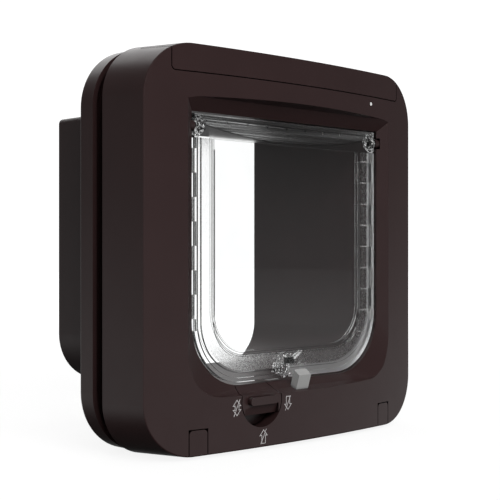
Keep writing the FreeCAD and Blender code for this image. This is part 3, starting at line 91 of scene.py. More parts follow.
class Shader:
    """A material's node tree, with short calls for the nodes that the finishes share."""

    def __init__(self, name: str) -> None:
        """Start a material whose Principled shader feeds the output.

        Args:
            name: The material's name.
        """
        self.material = bpy.data.materials.new(name)
        self.material.use_nodes = True
        self.tree = self.material.node_tree
        self.principled = self.tree.nodes["Principled BSDF"]
        self.output = self.tree.nodes["Material Output"]
        self.coordinates = self.tree.nodes.new("ShaderNodeTexCoord")

    @classmethod
    def on_tree(cls, tree: bpy.types.NodeTree) -> "Shader":
        """Use the same short calls on a node tree that has no Principled shader.

        Args:
            tree: The node tree, such as a world's.

        Returns:
            A shader whose calls add to that tree.
        """
        made = cls.__new__(cls)
        made.tree = tree
        made.coordinates = tree.nodes.new("ShaderNodeTexCoord")
        return made

    def node(self, kind: str, **settings: Any) -> bpy.types.Node:
        """Add a node.

        Args:
            kind: The node's type, without the ShaderNode prefix.
            **settings: Properties to set on it.

        Returns:
            The new node.
        """
        made = self.tree.nodes.new("ShaderNode" + kind)
        for key, value in settings.items():
            setattr(made, key, value)
        return made

    def link(self, source: Socket, target: Socket) -> None:
        """Join two sockets."""
        self.tree.links.new(source, target)

    def set(self, **values: Any) -> None:
        """Set values on the Principled shader.

        Args:
            **values: Socket names, with underscores for spaces, and their values.
        """
        for key, value in values.items():
            self.principled.inputs[key.replace("_", " ")].default_value = value

    def math(self, operation: str, *values: float | Socket) -> Socket:
        """Add a sum.

        Args:
            operation: The Math node's operation.
            *values: Numbers or sockets.

        Returns:
            The result's socket.
        """
        made = self.node("Math", operation=operation)
        for number, value in enumerate(values):
            if isinstance(value, (int, float)):
                made.inputs[number].default_value = value
            else:
                self.link(value, made.inputs[number])
        return made.outputs[0]

    def noise(self, scale: float, detail: float = 3.0, stretch: Colour = (1.0, 1.0, 1.0)) -> bpy.types.Node:
        """Add a noise texture on the object's own coordinates.

        Args:
            scale: Its scale, in cycles to a metre.
            detail: How many finer layers it has.
            stretch: How its scale differs along X, Y and Z.

        Returns:
            The noise node.
        """
        mapping = self.node("Mapping")
        mapping.inputs["Scale"].default_value = stretch
        self.link(self.coordinates.outputs["Object"], mapping.inputs["Vector"])
        noise = self.node("TexNoise")
        noise.inputs["Scale"].default_value = scale
        noise.inputs["Detail"].default_value = detail
        self.link(mapping.outputs["Vector"], noise.inputs["Vector"])
        return noise

    def times(self, first: Socket, *others: float | Socket) -> Socket:
        """Multiply values with each other."""
        return functools.reduce(lambda so_far, value: self.math("MULTIPLY", so_far, value), others, first)

    def plus(self, first: Socket, *others: float | Socket) -> Socket:
        """Add values up."""
        return functools.reduce(lambda so_far, value: self.math("ADD", so_far, value), others, first)

    def above(self, value: Socket, limit: float) -> Socket:
        """One where a value is above a limit, and nought elsewhere."""
        return self.math("GREATER_THAN", value, limit)

    def below(self, value: Socket, limit: float) -> Socket:
        """One where a value is below a limit, and nought elsewhere."""
        return self.math("LESS_THAN", value, limit)

    def inside(self, value: Socket, low: float, high: float) -> Socket:
        """One where a value lies between two limits, and nought elsewhere."""
        return self.times(self.above(value, low), self.below(value, high))

    def contrast(self, noise: bpy.types.Node, low: float, high: float) -> Socket:
        """Sharpen a noise, so that it is nought under one limit and one over another."""
        return self.ramp(noise.outputs["Fac"], [(low, BLACK), (high, WHITE)]).outputs["Color"]

    def fade(self, source: Socket, over: tuple[float, float], values: tuple[float, float]) -> Socket:
        """Go evenly from one value to another while a source crosses a span.

        Args:
            source: The source's socket.
            over: Where the slope starts and ends.
            values: The value before and after it.

        Returns:
            The result's socket.
        """
        span = self.node("MapRange")
        for socket, value in zip(("From Min", "From Max", "To Min", "To Max"), (*over, *values)):
            span.inputs[socket].default_value = value
        self.link(source, span.inputs["Value"])
        return span.outputs["Result"]

    def ramp(self, source: Socket, stops: list[tuple[float, Colour]]) -> bpy.types.Node:
        """Turn a value into a colour.

        Args:
            source: The value's socket.
            stops: Positions and colours, in rising order.

        Returns:
            The ramp node.
        """
        ramp = self.node("ValToRGB")
        elements = ramp.color_ramp.elements
        for number, (position, colour) in enumerate(stops):
            stop = elements[number] if number < len(elements) else elements.new(position)
            stop.position = position
            stop.color = (*colour, 1.0)
        self.link(source, ramp.inputs["Fac"])
        return ramp

    def spread(self, source: Socket, low: float, high: float, target: str) -> None:
        """Drive one of the Principled shader's values between two limits.

        Args:
            source: A value from nought to one.
            low: What nought stands for.
            high: What one stands for.
            target: The Principled socket's name.
        """
        self.link(self.fade(source, (0.0, 1.0), (low, high)), self.principled.inputs[target])

    def paint_crease_shade(self, colour: Socket, reach: float) -> Socket:
        """Paint shade into a colour in seams and corners, where ambient occlusion finds them.

        Args:
            colour: The colour's socket.
            reach: How far the painted shade of a crease reaches beside it, in metres.

        Returns:
            The darkened colour's socket.
        """
        hollow = self.node("AmbientOcclusion", samples=8)
        hollow.inputs["Distance"].default_value = reach
        depth = self.ramp(hollow.outputs["AO"], [(0.35, shade(WHITE, PAINTED_CREASE_SHADE)), (0.7, WHITE)])
        darker = self.node("Mix", data_type="RGBA", blend_type="MULTIPLY")
        darker.inputs["Factor"].default_value = 1.0
        self.link(colour, darker.inputs["A"])
        self.link(depth.outputs["Color"], darker.inputs["B"])
        return darker.outputs["Result"]

    def bump(self, source: Socket, depth: float, before: bpy.types.Node | None = None) -> bpy.types.Node:
        """Roughen the surface by a height, in metres.

        Args:
            source: The height's pattern, from nought to one.
            depth: The height that one stands for.
            before: An earlier bump that this one adds to.

        Returns:
            The bump node.
        """
        bump = self.node("Bump")
        bump.inputs["Distance"].default_value = depth
        bump.inputs["Strength"].default_value = 1.0
        self.link(source, bump.inputs["Height"])
        if before is not None:
            self.link(before.outputs["Normal"], bump.inputs["Normal"])
        self.link(bump.outputs["Normal"], self.principled.inputs["Normal"])
        return bump


def shade(colour: Colour, factor: float) -> Colour:
    """A colour made lighter or darker by a factor."""
    return tuple(min(1.0, channel * factor) for channel in colour)


@dataclass(frozen=True)
class MouldedPlastic:
    """Opaque moulded plastic with a fine spark-eroded grain."""

    name: str
    colour: Colour
    roughness: float = 0.45
    grain: float = 2200.0
    grain_depth: float = 0.000012
    variation: float = 0.12
    specular: float = 0.5
    # How far the painted shade in seams and corners reaches, in metres
    painted_shade_reach: float = 0.004
    cloud: float = 38.0
    smear: float = 120.0
    wear: float = 0.05
    waves: float = 90.0

    def material(self) -> bpy.types.Material:
        """Build the material with its grain, cloudiness, worn gloss and painted shade in creases."""
        shader = Shader(self.name)
        cloud = shader.noise(self.cloud, 4.0)
        tone = shader.ramp(cloud.outputs["Fac"], [
            (0.3, shade(self.colour, 1 - self.variation)), (0.7, shade(self.colour, 1 + self.variation))])
        # Painted shade: the colour is darkened in seams and corners by ambient occlusion
        shader.link(shader.paint_crease_shade(tone.outputs["Color"], self.painted_shade_reach), shader.principled.inputs["Base Color"])
        smear = shader.noise(self.smear, 5.0)
        shader.spread(smear.outputs["Fac"], self.roughness - self.wear, self.roughness + self.wear, "Roughness")
        shader.set(Specular_IOR_Level=self.specular)
        coarse = shader.bump(shader.noise(self.grain, 2.0).outputs["Fac"], self.grain_depth)
        shader.bump(shader.noise(self.waves, 2.0).outputs["Fac"], self.grain_depth, coarse)
        return shader.material


@dataclass(frozen=True)
class FlapPlastic:
    """Clear flap: polished window and rim, frosted band, ribbed bar and a crumpled pocket.

    Places are in metres in the row frame, as pairs of X and Z. The rest are shares from nought to one.
    """

    name: str
    tint: Colour = (0.97, 0.98, 0.98)
    refraction: float = 1.46
    shadow: float = 0.8
    # The clear window's outline and the frosted band and moulded steps round it, whose edges get thin lines of painted
    # shade
    window_half: float = 0.0564
    window_foot: float = MIDDLE_Z - 0.053
    window_top: float = MIDDLE_Z + 0.057
    window_corner: float = 0.022
    front_face: float = FRONT_Y + 0.0122
    band: tuple[float, float] = (0.0022, 0.0104)
    band_gloss: float = 0.06
    band_frost: float = 0.28
    band_haze: float = 0.04
    steps: tuple[float, ...] = (0.0009, 0.002, 0.003, 0.0115)
    step_half: float = 0.00025
    # How much of the tint is kept where shade is painted
    painted_shade_tone: float = 0.3
    edge_gloss: float = 0.02
    rim_frost: float = 0.3
    rim_haze: float = 0.05
    # Short pale lines in the band, level with the ends of the right rim's notches
    tick_start: float = MIDDLE_Z + 0.0021
    tick_pitch: float = 0.01235
    tick_half: float = 0.024
    tick_haze: float = 0.25
    # The hinge bar, whose lower edge is an arc, and the lens-shaped web under it
    arc_half: float = 0.06
    arc_foot: float = MIDDLE_Z + 0.0579
    arc_rise: float = 0.0056
    bar_frost: float = 0.03
    bar_streak: float = 0.1
    bar_haze: tuple[float, float] = (0.01, 0.06)
    bar_glow: float = 0.0024
    bar_ends: tuple[float, float] = (0.3, 0.35)
    # Share of the painted shade at the bar's left end, fading to none at its right end
    bar_painted_shade: float = 0.9
    lens_depth: float = 0.02
    lens_frost: float = 0.1
    # The slanted web over the magnet's pocket, whose glint is painted as a white line
    web_start: tuple[float, float] = (0.0025, MIDDLE_Z - 0.0596)
    web_run: tuple[float, float] = (0.0061, 0.0043)
    web_half: float = 0.00035
    web_painted_glint: float = 0.6
    # Oval patches of crumpled plastic: the pocket, its end and both knuckles
    patch_edge: float = 1.4
    pocket: tuple[float, float] = (-0.0048, MIDDLE_Z - 0.0622)
    pocket_reach: tuple[float, float] = (0.0085, 0.0066)
    pocket_end: tuple[float, float] = (0.0115, MIDDLE_Z - 0.0638)
    pocket_end_reach: tuple[float, float] = (0.0042, 0.003)
    pocket_gaps: float = 0.45
    knuckle: tuple[float, float] = (0.0675, MIDDLE_Z + 0.0628)
    knuckle_reach: tuple[float, float] = (0.0052, 0.0052)
    # Crumple under the first limit gets painted glints in the knuckles, and crumple over the second gets painted dark
    # reflections
    knuckle_limits: tuple[float, float] = (0.45, 0.54)
    knuckle_glint: float = 0.4
    # How deep each pattern stands in the surface, in metres
    band_relief: float = 0.00002
    bar_relief: float = 0.00003
    streak_relief: float = 0.00008
    pocket_relief: float = 0.001
    knuckle_relief: float = 0.003

    def material(self) -> bpy.types.Material:
        """Build the clear material, its gloss and relief set by where a point lies."""
        return FlapShader(self).dressed()


class FlapShader(Shader):
    """Node tree of the clear flap, with masks that tell where on the flap a point lies."""

    def __init__(self, flap: FlapPlastic) -> None:
        """Work out the masks and patterns that gloss, haze, colour and relief share.

        Args:
            flap: The finish whose sizes are used.
        """
        super().__init__(flap.name)
        self.flap = flap
        split = self.node("SeparateXYZ")
        self.link(self.coordinates.outputs["Object"], split.inputs["Vector"])
        self.across, depth, self.height = (split.outputs[axis] for axis in "XYZ")
        self.sides = self.math("ABSOLUTE", self.across)
        self.outline = self.outside_window()
        self.on_front = self.below(depth, flap.front_face)
        self.over_arc = self.above_arc()
        self.below_bar = self.below(self.height, flap.window_top)
        self.on_bar = self.times(self.on_front, self.above(self.over_arc, 0.0))
        self.lit_bar = self.times(self.on_bar, self.bar_light())
        self.band = self.times(self.inside(self.outline, *flap.band), self.below_bar, self.on_front)
        self.rim = self.times(self.above(self.outline, flap.band[1]), self.below_bar, self.above(self.across, 0.0))
        self.grain = self.contrast(self.noise(3100.0, 1.0), 0.4, 0.62)
        self.streaks = self.contrast(self.noise(1100.0, 2.0, (0.006, 0.2, 1.0)), 0.42, 0.58)
        self.wander = self.noise(260.0, 0.0).outputs["Fac"]
        self.crumple = self.noise(650.0, 1.0).outputs["Fac"]
        self.at_hinge = self.patch(self.sides, flap.knuckle, flap.knuckle_reach)

    def outside_window(self) -> Socket:
        """How far a point lies outside the window's outline, below nought inside it."""
        flap = self.flap
        out = self.math("MAXIMUM", self.math("SUBTRACT", self.sides, flap.window_half - flap.window_corner), 0.0)
        down = self.math("MAXIMUM", self.math("SUBTRACT", flap.window_foot + flap.window_corner, self.height), 0.0)
        square = self.plus(self.times(out, out), self.times(down, down))
        return self.math("SUBTRACT", self.math("SQRT", square), flap.window_corner)

    def above_arc(self) -> Socket:
        """How far a point lies above the arc that is the hinge bar's lower edge."""
        outward = self.math("DIVIDE", self.across, self.flap.arc_half)
        arc = self.math("MULTIPLY_ADD", self.times(outward, outward), self.flap.arc_rise, self.flap.arc_foot)
        return self.math("SUBTRACT", self.height, arc)

    def bar_light(self) -> Socket:
        """Frost and haze of the hinge bar, fading towards its lower edge and towards its top; the haze also paints a
        bright band just above the lower edge.
        """
        reach, (foot, top) = self.flap.bar_glow, self.flap.bar_ends
        return self.times(self.fade(self.over_arc, (0.0, reach), (foot, 1.0)),
                          self.fade(self.over_arc, (2 * reach, 3 * reach), (1.0, top)))

    def patch(self, across: Socket, middle: tuple[float, float], reach: tuple[float, float]) -> Socket:
        """Mark an oval patch with an uneven edge.

        Args:
            across: The point's X, or its distance from the middle for a patch on both sides.
            middle: The patch's middle.
            reach: How far it reaches along X and Z.

        Returns:
            A socket that is one in the patch and nought outside.
        """
        out = self.math("DIVIDE", self.math("SUBTRACT", across, middle[0]), reach[0])
        rise = self.math("DIVIDE", self.math("SUBTRACT", self.height, middle[1]), reach[1])
        square = self.plus(self.times(out, out), self.times(rise, rise))
        return self.below(self.plus(square, self.wander), self.flap.patch_edge)

    def web(self) -> Socket:
        """Mark the short slanted web over the magnet's pocket, where a glint is painted as a white line."""
        flap = self.flap
        length = math.hypot(*flap.web_run)
        right, up = flap.web_run[0] / length, flap.web_run[1] / length
        out = self.math("SUBTRACT", self.across, flap.web_start[0])
        rise = self.math("SUBTRACT", self.height, flap.web_start[1])
        along = self.math("MULTIPLY_ADD", out, right, self.times(rise, up))
        beside = self.math("MULTIPLY_ADD", rise, right, self.times(out, -up))
        return self.times(self.inside(beside, -flap.web_half, flap.web_half), self.inside(along, 0.0, length))

    def ticks(self) -> Socket:
        """Mark the band's short lines beside the ends of the right rim's notches."""
        flap = self.flap
        count = self.math("DIVIDE", self.math("SUBTRACT", self.height, flap.tick_start), flap.tick_pitch)
        off = self.math("ABSOLUTE", self.math("SUBTRACT", count, self.math("ROUND", count)))
        return self.times(self.below(off, flap.tick_half), self.band, self.above(self.across, flap.window_half),
                          self.above(self.height, flap.window_foot))

    def lens(self) -> Socket:
        """Mark the lens-shaped web under the hinge bar."""
        flap = self.flap
        return self.times(self.inside(self.over_arc, -flap.lens_depth, 0.0), self.on_front,
                          self.above(self.height, flap.window_top), self.below(self.sides, flap.arc_half))

    def frost(self) -> Socket:
        """Roughness, from polished in the window to frosted on the band."""
        flap = self.flap
        band = self.math("MULTIPLY_ADD", self.grain, flap.band_frost, flap.band_gloss)
        bar = self.math("MULTIPLY_ADD", self.streaks, flap.bar_streak, flap.bar_frost)
        return self.plus(self.times(self.above(self.outline, 0.0), flap.edge_gloss), self.times(self.band, band),
                         self.times(self.lit_bar, bar), self.times(self.lens(), flap.lens_frost),
                         self.times(self.rim, flap.rim_frost))

    def haze(self) -> Socket:
        """Share of the light that the plastic scatters instead of letting it through; it also paints glints on the web
        and in the knuckles.
        """
        flap = self.flap
        least, most = flap.bar_haze
        bar = self.math("MULTIPLY_ADD", self.streaks, most - least, least)
        # Painted glints: white spots in the knuckles' crumple
        glints = self.times(self.at_hinge, self.below(self.crumple, flap.knuckle_limits[0]))
        return self.plus(self.times(self.lit_bar, bar), self.times(self.band, self.grain, flap.band_haze),
                         self.times(self.web(), flap.web_painted_glint), self.times(self.rim, flap.rim_haze),
                         self.times(glints, flap.knuckle_glint), self.times(self.ticks(), flap.tick_haze))

    def painted_shade_share(self) -> Socket:
        """Share of the painted shade: thin lines on the steps and along the bar's lower edge, dark reflections in the
        knuckles, and shade across the bar.
        """
        flap = self.flap
        steps = self.plus(*(self.inside(self.outline, step - flap.step_half, step + flap.step_half)
                            for step in flap.steps))
        # Painted shade: thin dark lines on the moulded steps and along the bar's lower edge
        lines = self.plus(self.times(steps, self.below_bar),
                          self.inside(self.over_arc, -flap.step_half, flap.step_half))
        # Painted dark reflections: dark spots in the knuckles' crumple
        knuckles = self.times(self.at_hinge, self.above(self.crumple, flap.knuckle_limits[1]))
        # Painted shade across the bar, darkest at its left end
        bar_shade = self.times(self.above(self.over_arc, 0.0),
                           self.fade(self.across, (-flap.arc_half, flap.arc_half), (flap.bar_painted_shade, 0.0)))
        return self.math("MAXIMUM", self.math("MAXIMUM", self.times(lines, self.on_front), knuckles), bar_shade)

    def colour(self) -> Socket:
        """The clear tint, darker where shade is painted."""
        tint = self.flap.tint
        tone = self.ramp(self.noise(80.0, 3.0).outputs["Fac"], [(0.35, shade(tint, 0.98)), (0.65, tint)])
        darker = self.node("Mix", data_type="RGBA")
        self.link(self.painted_shade_share(), darker.inputs["Factor"])
        self.link(tone.outputs["Color"], darker.inputs["A"])
        darker.inputs["B"].default_value = (*shade(tint, self.flap.painted_shade_tone), 1.0)
        return darker.outputs["Result"]

    def relief(self) -> None:
        """Add the relief of the band, the bar, the pocket and the knuckles."""
        flap = self.flap
        pocket = self.plus(self.patch(self.across, flap.pocket, flap.pocket_reach),
                           self.patch(self.across, flap.pocket_end, flap.pocket_end_reach))
        fine, broad = self.noise(900.0, 0.0).outputs["Fac"], self.noise(400.0, 1.0).outputs["Fac"]
        bump = None
        for pattern, depth in (
                (self.times(self.band, self.grain), flap.band_relief),
                (self.times(self.lit_bar, self.grain), flap.bar_relief),
                (self.times(self.on_bar, self.streaks), flap.streak_relief),
                (self.times(pocket, self.above(broad, flap.pocket_gaps), fine), flap.pocket_relief),
                (self.times(self.at_hinge, self.crumple), flap.knuckle_relief)):
            bump = self.bump(pattern, depth, bump)

    def let_light_through(self) -> None:
        """Let shadow rays pass, so that the flap doesn't darken what stands behind it."""
        clear = self.node("BsdfTransparent")
        clear.inputs["Color"].default_value = (*shade(self.flap.tint, self.flap.shadow), 1.0)
        lit = self.node("MixShader")
        self.link(self.node("LightPath").outputs["Is Shadow Ray"], lit.inputs["Fac"])
        self.link(self.principled.outputs["BSDF"], lit.inputs[1])
        self.link(clear.outputs["BSDF"], lit.inputs[2])
        self.link(lit.outputs["Shader"], self.output.inputs["Surface"])

    def dressed(self) -> bpy.types.Material:
        """Link everything to the Principled shader and give the finished material."""
        self.set(Transmission_Weight=1.0, IOR=self.flap.refraction)
        self.link(self.frost(), self.principled.inputs["Roughness"])
        self.link(self.math("SUBTRACT", 1.0, self.haze()), self.principled.inputs["Transmission Weight"])
        self.link(self.colour(), self.principled.inputs["Base Color"])
        self.relief()
        self.let_light_through()
        return self.material


@dataclass(frozen=True)
class Metal:
    """Plated or bare metal with fine tool marks."""

    name: str
    colour: Colour
    roughness: float = 0.3
    marks: float = 1500.0
    stretch: Colour = (1.0, 0.08, 1.0)
    dull: float = 0.85
    wear: tuple[float, float] = (-0.08, 0.12)
    relief: float = 0.00002

    def material(self) -> bpy.types.Material:
        """Build the metal with drawn marks in its gloss and relief."""
        shader = Shader(self.name)
        shader.set(Metallic=1.0)
        marks = shader.noise(self.marks, 3.0, self.stretch)
        tone = shader.ramp(marks.outputs["Fac"], [(0.3, shade(self.colour, self.dull)), (0.7, self.colour)])
        shader.link(tone.outputs["Color"], shader.principled.inputs["Base Color"])
        smooth, worn = (self.roughness + change for change in self.wear)
        shader.spread(marks.outputs["Fac"], smooth, worn, "Roughness")
        shader.bump(marks.outputs["Fac"], self.relief)
        return shader.material


@dataclass(frozen=True)
class WoundWire:
    """Lacquered copper wire wound in close turns."""

    name: str
    colour: Colour = (0.42, 0.15, 0.05)
    turns: float = 900.0
    painted_groove_shade: float = 0.35
    relief: float = 0.0002

    def material(self) -> bpy.types.Material:
        """Build the winding with its turns as a wave across the depth, with painted shade in the grooves between turns.
        """
        shader = Shader(self.name)
        wave = shader.node("TexWave", bands_direction="Y")
        wave.inputs["Scale"].default_value = self.turns
        shader.link(shader.coordinates.outputs["Object"], wave.inputs["Vector"])
        # Painted shade: the colour darkens in the grooves between the turns
        tone = shader.ramp(wave.outputs["Fac"], [(0.1, shade(self.colour, self.painted_groove_shade)), (0.6, self.colour)])
        shader.link(tone.outputs["Color"], shader.principled.inputs["Base Color"])
        shader.set(Metallic=0.7, Roughness=0.35)
        shader.bump(wave.outputs["Fac"], self.relief)
        return shader.material


@dataclass(frozen=True)
class PrintedInk:
    """Pale ink printed on textured plastic."""

    name: str
    colour: Colour

    def material(self) -> bpy.types.Material:
        """Build the ink, slightly uneven where the grain shows through."""
        shader = Shader(self.name)
        speck = shader.noise(4000.0, 3.0)
        tone = shader.ramp(speck.outputs["Fac"], [(0.3, shade(self.colour, 0.75)), (0.6, self.colour)])
        shader.link(tone.outputs["Color"], shader.principled.inputs["Base Color"])
        shader.set(Roughness=0.6)
        shader.bump(speck.outputs["Fac"], 0.00001)
        return shader.material


class Finish(Enum):
    """The finishes of the whole object."""

    BROWN = MouldedPlastic("brown_grained_plastic", (0.0302, 0.0155, 0.0155), roughness=0.32, variation=0.05)
    # The brown plastic again, with its painted shade reaching further, so that the dial's scoop is darkened as if in
    # deep shade
    DIAL_BROWN = replace(BROWN, name="brown_plastic_deep_shade", painted_shade_reach=0.01)
    SMOOTH_BROWN = MouldedPlastic("smooth_brown_plastic", (0.0285, 0.0165, 0.0165), variation=0.03,
                                  grain_depth=0.000002)
    DARK = MouldedPlastic("dark_inner_plastic", (0.02, 0.02, 0.021), roughness=0.5)
    GREY = MouldedPlastic("light_grey_plastic", (0.36, 0.36, 0.355), roughness=0.4, grain_depth=0.00001)
    SLEEVE = MouldedPlastic("cell_sleeve", (0.03, 0.09, 0.25), roughness=0.3, grain_depth=0.000005)
    BOARD = MouldedPlastic("board_lacquer", (0.01, 0.12, 0.04), roughness=0.3, grain=700.0)
    COIL_CASE = MouldedPlastic("blackened_coil_case", (0.03, 0.03, 0.032), roughness=0.35)
    CLEAR = FlapPlastic("clear_flap_plastic")
    LENS = MouldedPlastic("milky_light_pipe", (0.75, 0.75, 0.74), roughness=0.25, grain_depth=0.000002)
    ZINC = Metal("zinc_plated_steel", (0.62, 0.62, 0.6))
    NICKEL = Metal("nickel_plated_steel", (0.7, 0.69, 0.66), roughness=0.16)
    COPPER = WoundWire("wound_copper")
    # Black plastic of the board's parts, and the painted shade of the screw heads' crosses
    RECESS = MouldedPlastic("black_moulding_and_cross_shade", (0.008, 0.008, 0.009), roughness=0.55)
    BAND = Metal("silver_label", (0.5, 0.5, 0.52), roughness=0.34)
    INK = PrintedInk("pale_ink", (0.52, 0.5, 0.5))

    def make(self) -> bpy.types.Material:
        """Build this finish once and give the same material after that."""
        return bpy.data.materials.get(self.value.name) or self.value.material()


NODE_FINISHES: dict[str, Finish] = {
    "front_bezel": Finish.BROWN,
    "rear_housing": Finish.SMOOTH_BROWN,
    "exterior_frame": Finish.BROWN,
    "battery_cover": Finish.BROWN,
    "screw_cover_left": Finish.BROWN,
    "screw_cover_right": Finish.BROWN,
    "lock_dial": Finish.DIAL_BROWN,
    "battery_tray": Finish.DARK,
    "latch_guide": Finish.DARK,
    "dial_wheel": Finish.GREY,
    "battery_cell_1": Finish.SLEEVE,
    "battery_cell_2": Finish.SLEEVE,
    "battery_cell_3": Finish.SLEEVE,
    "battery_cell_4": Finish.SLEEVE,
    "contact_plate_left": Finish.NICKEL,
    "contact_plate_right": Finish.NICKEL,
    "circuit_board": Finish.BOARD,
    "antenna_coil": Finish.COPPER,
    "light_pipe": Finish.LENS,
    "learn_button": Finish.GREY,
    "flap_pane": Finish.CLEAR,
    "hinge_pin_left": Finish.NICKEL,
    "hinge_pin_right": Finish.NICKEL,
    "flap_magnet": Finish.NICKEL,
    "inner_latch": Finish.GREY,
    "latch_plunger": Finish.ZINC,
    "latch_solenoid": Finish.COIL_CASE,
    "outer_latch": Finish.GREY,
    "detent_spring": Finish.ZINC,
    "fixing_screws": Finish.ZINC,
    "housing_screws": Finish.ZINC,
}


def finished(name: str, shape: bmesh.types.BMesh, finish: Finish, body: str) -> bpy.types.Object:
    """Turn a shape into a piece that rides on a body.

    Args:
        name: The piece's name.
        shape: Its mesh, in the row frame. It is freed.
        finish: Its finish.
        body: The body that it moves with.

    Returns:
        The new object.
    """
    bmesh.ops.recalc_face_normals(shape, faces=shape.faces)
    mesh = bpy.data.meshes.new(name)
    shape.to_mesh(mesh)
    shape.free()
    mesh.materials.append(finish.make())
    piece = bpy.data.objects.new(name, mesh)
    bpy.context.collection.objects.link(piece)
    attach(piece, body)
    LOG.info("made %s on %s", name, body)
    return piece


@dataclass
class Coil:
    """A wire or a thread's crest that winds round an axis, in metres."""

    start: Vector
    axis: Vector
    radius: float
    wire: float
    pitch: float
    turns: float
    sides: int = 6
    steps: int = 18

    def add_to(self, shape: bmesh.types.BMesh) -> None:
        """Wind the coil into a shape.

        Args:
            shape: The mesh that it is added to.
        """
        across = self.axis.orthogonal().normalized()
        middle = self.start + across * self.radius
        rim = []
        for number in range(self.sides):
            angle = 2 * math.pi * number / self.sides
            rim.append(shape.verts.new(middle + self.wire * (math.cos(angle) * across + math.sin(angle) * self.axis)))
        edges = [shape.edges.new((rim[number - 1], rim[number])) for number in range(self.sides)]
        bmesh.ops.spin(shape, geom=rim + edges, cent=self.start, axis=self.axis,
                       dvec=self.axis * self.pitch / self.steps, angle=2 * math.pi * self.turns,
                       steps=round(self.turns * self.steps), use_merge=False, use_duplicate=False)
        bmesh.ops.holes_fill(shape, edges=[edge for edge in shape.edges if edge.is_boundary], sides=self.sides)


def add_block(shape: bmesh.types.BMesh, low: Vector, high: Vector, bevel: float = 0.0) -> None:
    """Add a box between two corners to a shape.

    Args:
        shape: The mesh that it is added to.
        low: One corner, in metres.
        high: The opposite corner.
        bevel: How far its edges are taken off.
    """
    made = bmesh.ops.create_cube(shape, size=1.0)["verts"]
    span, middle = high - low, (high + low) / 2
    for vertex in made:
        vertex.co = middle + Vector(abs(span[axis]) * vertex.co[axis] for axis in range(3))
    if bevel:
        edges = list({edge for vertex in made for edge in vertex.link_edges})
        bmesh.ops.bevel(shape, geom=edges, offset=bevel, offset_type="OFFSET", segments=2, profile=0.5,
                        affect="EDGES", material=-1)


def add_rod(shape: bmesh.types.BMesh, start: Vector, end: Vector, radius: float, sides: int = 32,
            hollow: float = 0.0) -> None:
    """Add a round bar or a tube between two points to a shape.

    Args:
        shape: The mesh that it is added to.
        start: The middle of one end, in metres.
        end: The middle of the other end.
        radius: Its radius.
        sides: How many sides stand for the circle.
        hollow: The bore's radius, or nought for a full bar.
    """
    axis = (end - start).normalized()
    across = axis.orthogonal().normalized()
    corners = [(start, radius), (end, radius), (end, hollow), (start, hollow)]
    loop = [shape.verts.new(point + across * reach) for point, reach in corners]
    edges = [shape.edges.new((loop[number], loop[number + 1])) for number in range(3)]
    if hollow:
        edges.append(shape.edges.new((loop[3], loop[0])))
    first = set(shape.verts) - set(loop)
    bmesh.ops.spin(shape, geom=loop + edges, cent=start, axis=axis, angle=2 * math.pi, steps=sides,
                   use_merge=True, use_duplicate=False)
    bmesh.ops.remove_doubles(shape, verts=[vertex for vertex in shape.verts if vertex not in first], dist=1e-7)


@dataclass
class ScrewDetails:
    """Threads that show in the door gap, and dark crosses of painted shade on all screw heads."""

    fixing_x: float = 72.4
    fixing_z: float = 96.0
    fixing_front: float = 11.4
    shank: float = 2.0
    gap_start: float = 41.4
    thread_turns: float = 8.0
    pitch: float = 0.9
    crest: float = 0.3
    housing_x: float = 91.5
    housing_z: float = 58.0
    housing_back: float = 40.9
    arm_width: float = 0.22
    inlay: float = 0.03
    fixing_cross: float = 2.1
    housing_cross: float = 1.5

    def threads(self) -> None:
        """Wind the threads of the four fixing screws."""
        shape = bmesh.new()
        for x, z in self.corners(self.fixing_x, self.fixing_z):
            Coil(place(x, self.gap_start, z), Vector((0.0, 1.0, 0.0)), self.shank / 1000, self.crest / 1000,
                 self.pitch / 1000, self.thread_turns, sides=4).add_to(shape)
        finished("screw_threads", shape, Finish.ZINC, "frames")

    def corners(self, x: float, z: float) -> list[tuple[float, float]]:
        """The four places that lie evenly about the frame's middle."""
        return [(side * x, level * z) for side in (-1, 1) for level in (-1, 1)]

    def paint_cross_shade(self, name: str, places: list[tuple[float, float]], depth: float, reach: float) -> None:
        """Lay a flat dark cross on each head: painted shade that stands in for its cross recess.

        Args:
            name: The piece's name.
            places: Where the heads are.
            depth: The depth of the heads' flat faces.
            reach: Half the cross's width.
        """
        shape = bmesh.new()
        for x, z in places:
            for wide, tall in ((reach, reach * self.arm_width), (reach * self.arm_width, reach)):
                add_block(shape, place(x - wide, depth - self.inlay, z - tall),
                          place(x + wide, depth + self.inlay, z + tall))
        finished(name, shape, Finish.RECESS, "frames")

    def build(self) -> None:
        """Make the threads and both sets of painted shade crosses."""
        self.threads()
        self.paint_cross_shade("fixing_screw_cross_shade", self.corners(self.fixing_x, self.fixing_z), self.fixing_front,
                      self.fixing_cross)
        self.paint_cross_shade("housing_screw_cross_shade", self.corners(self.housing_x, self.housing_z), self.housing_back,
                      self.housing_cross)


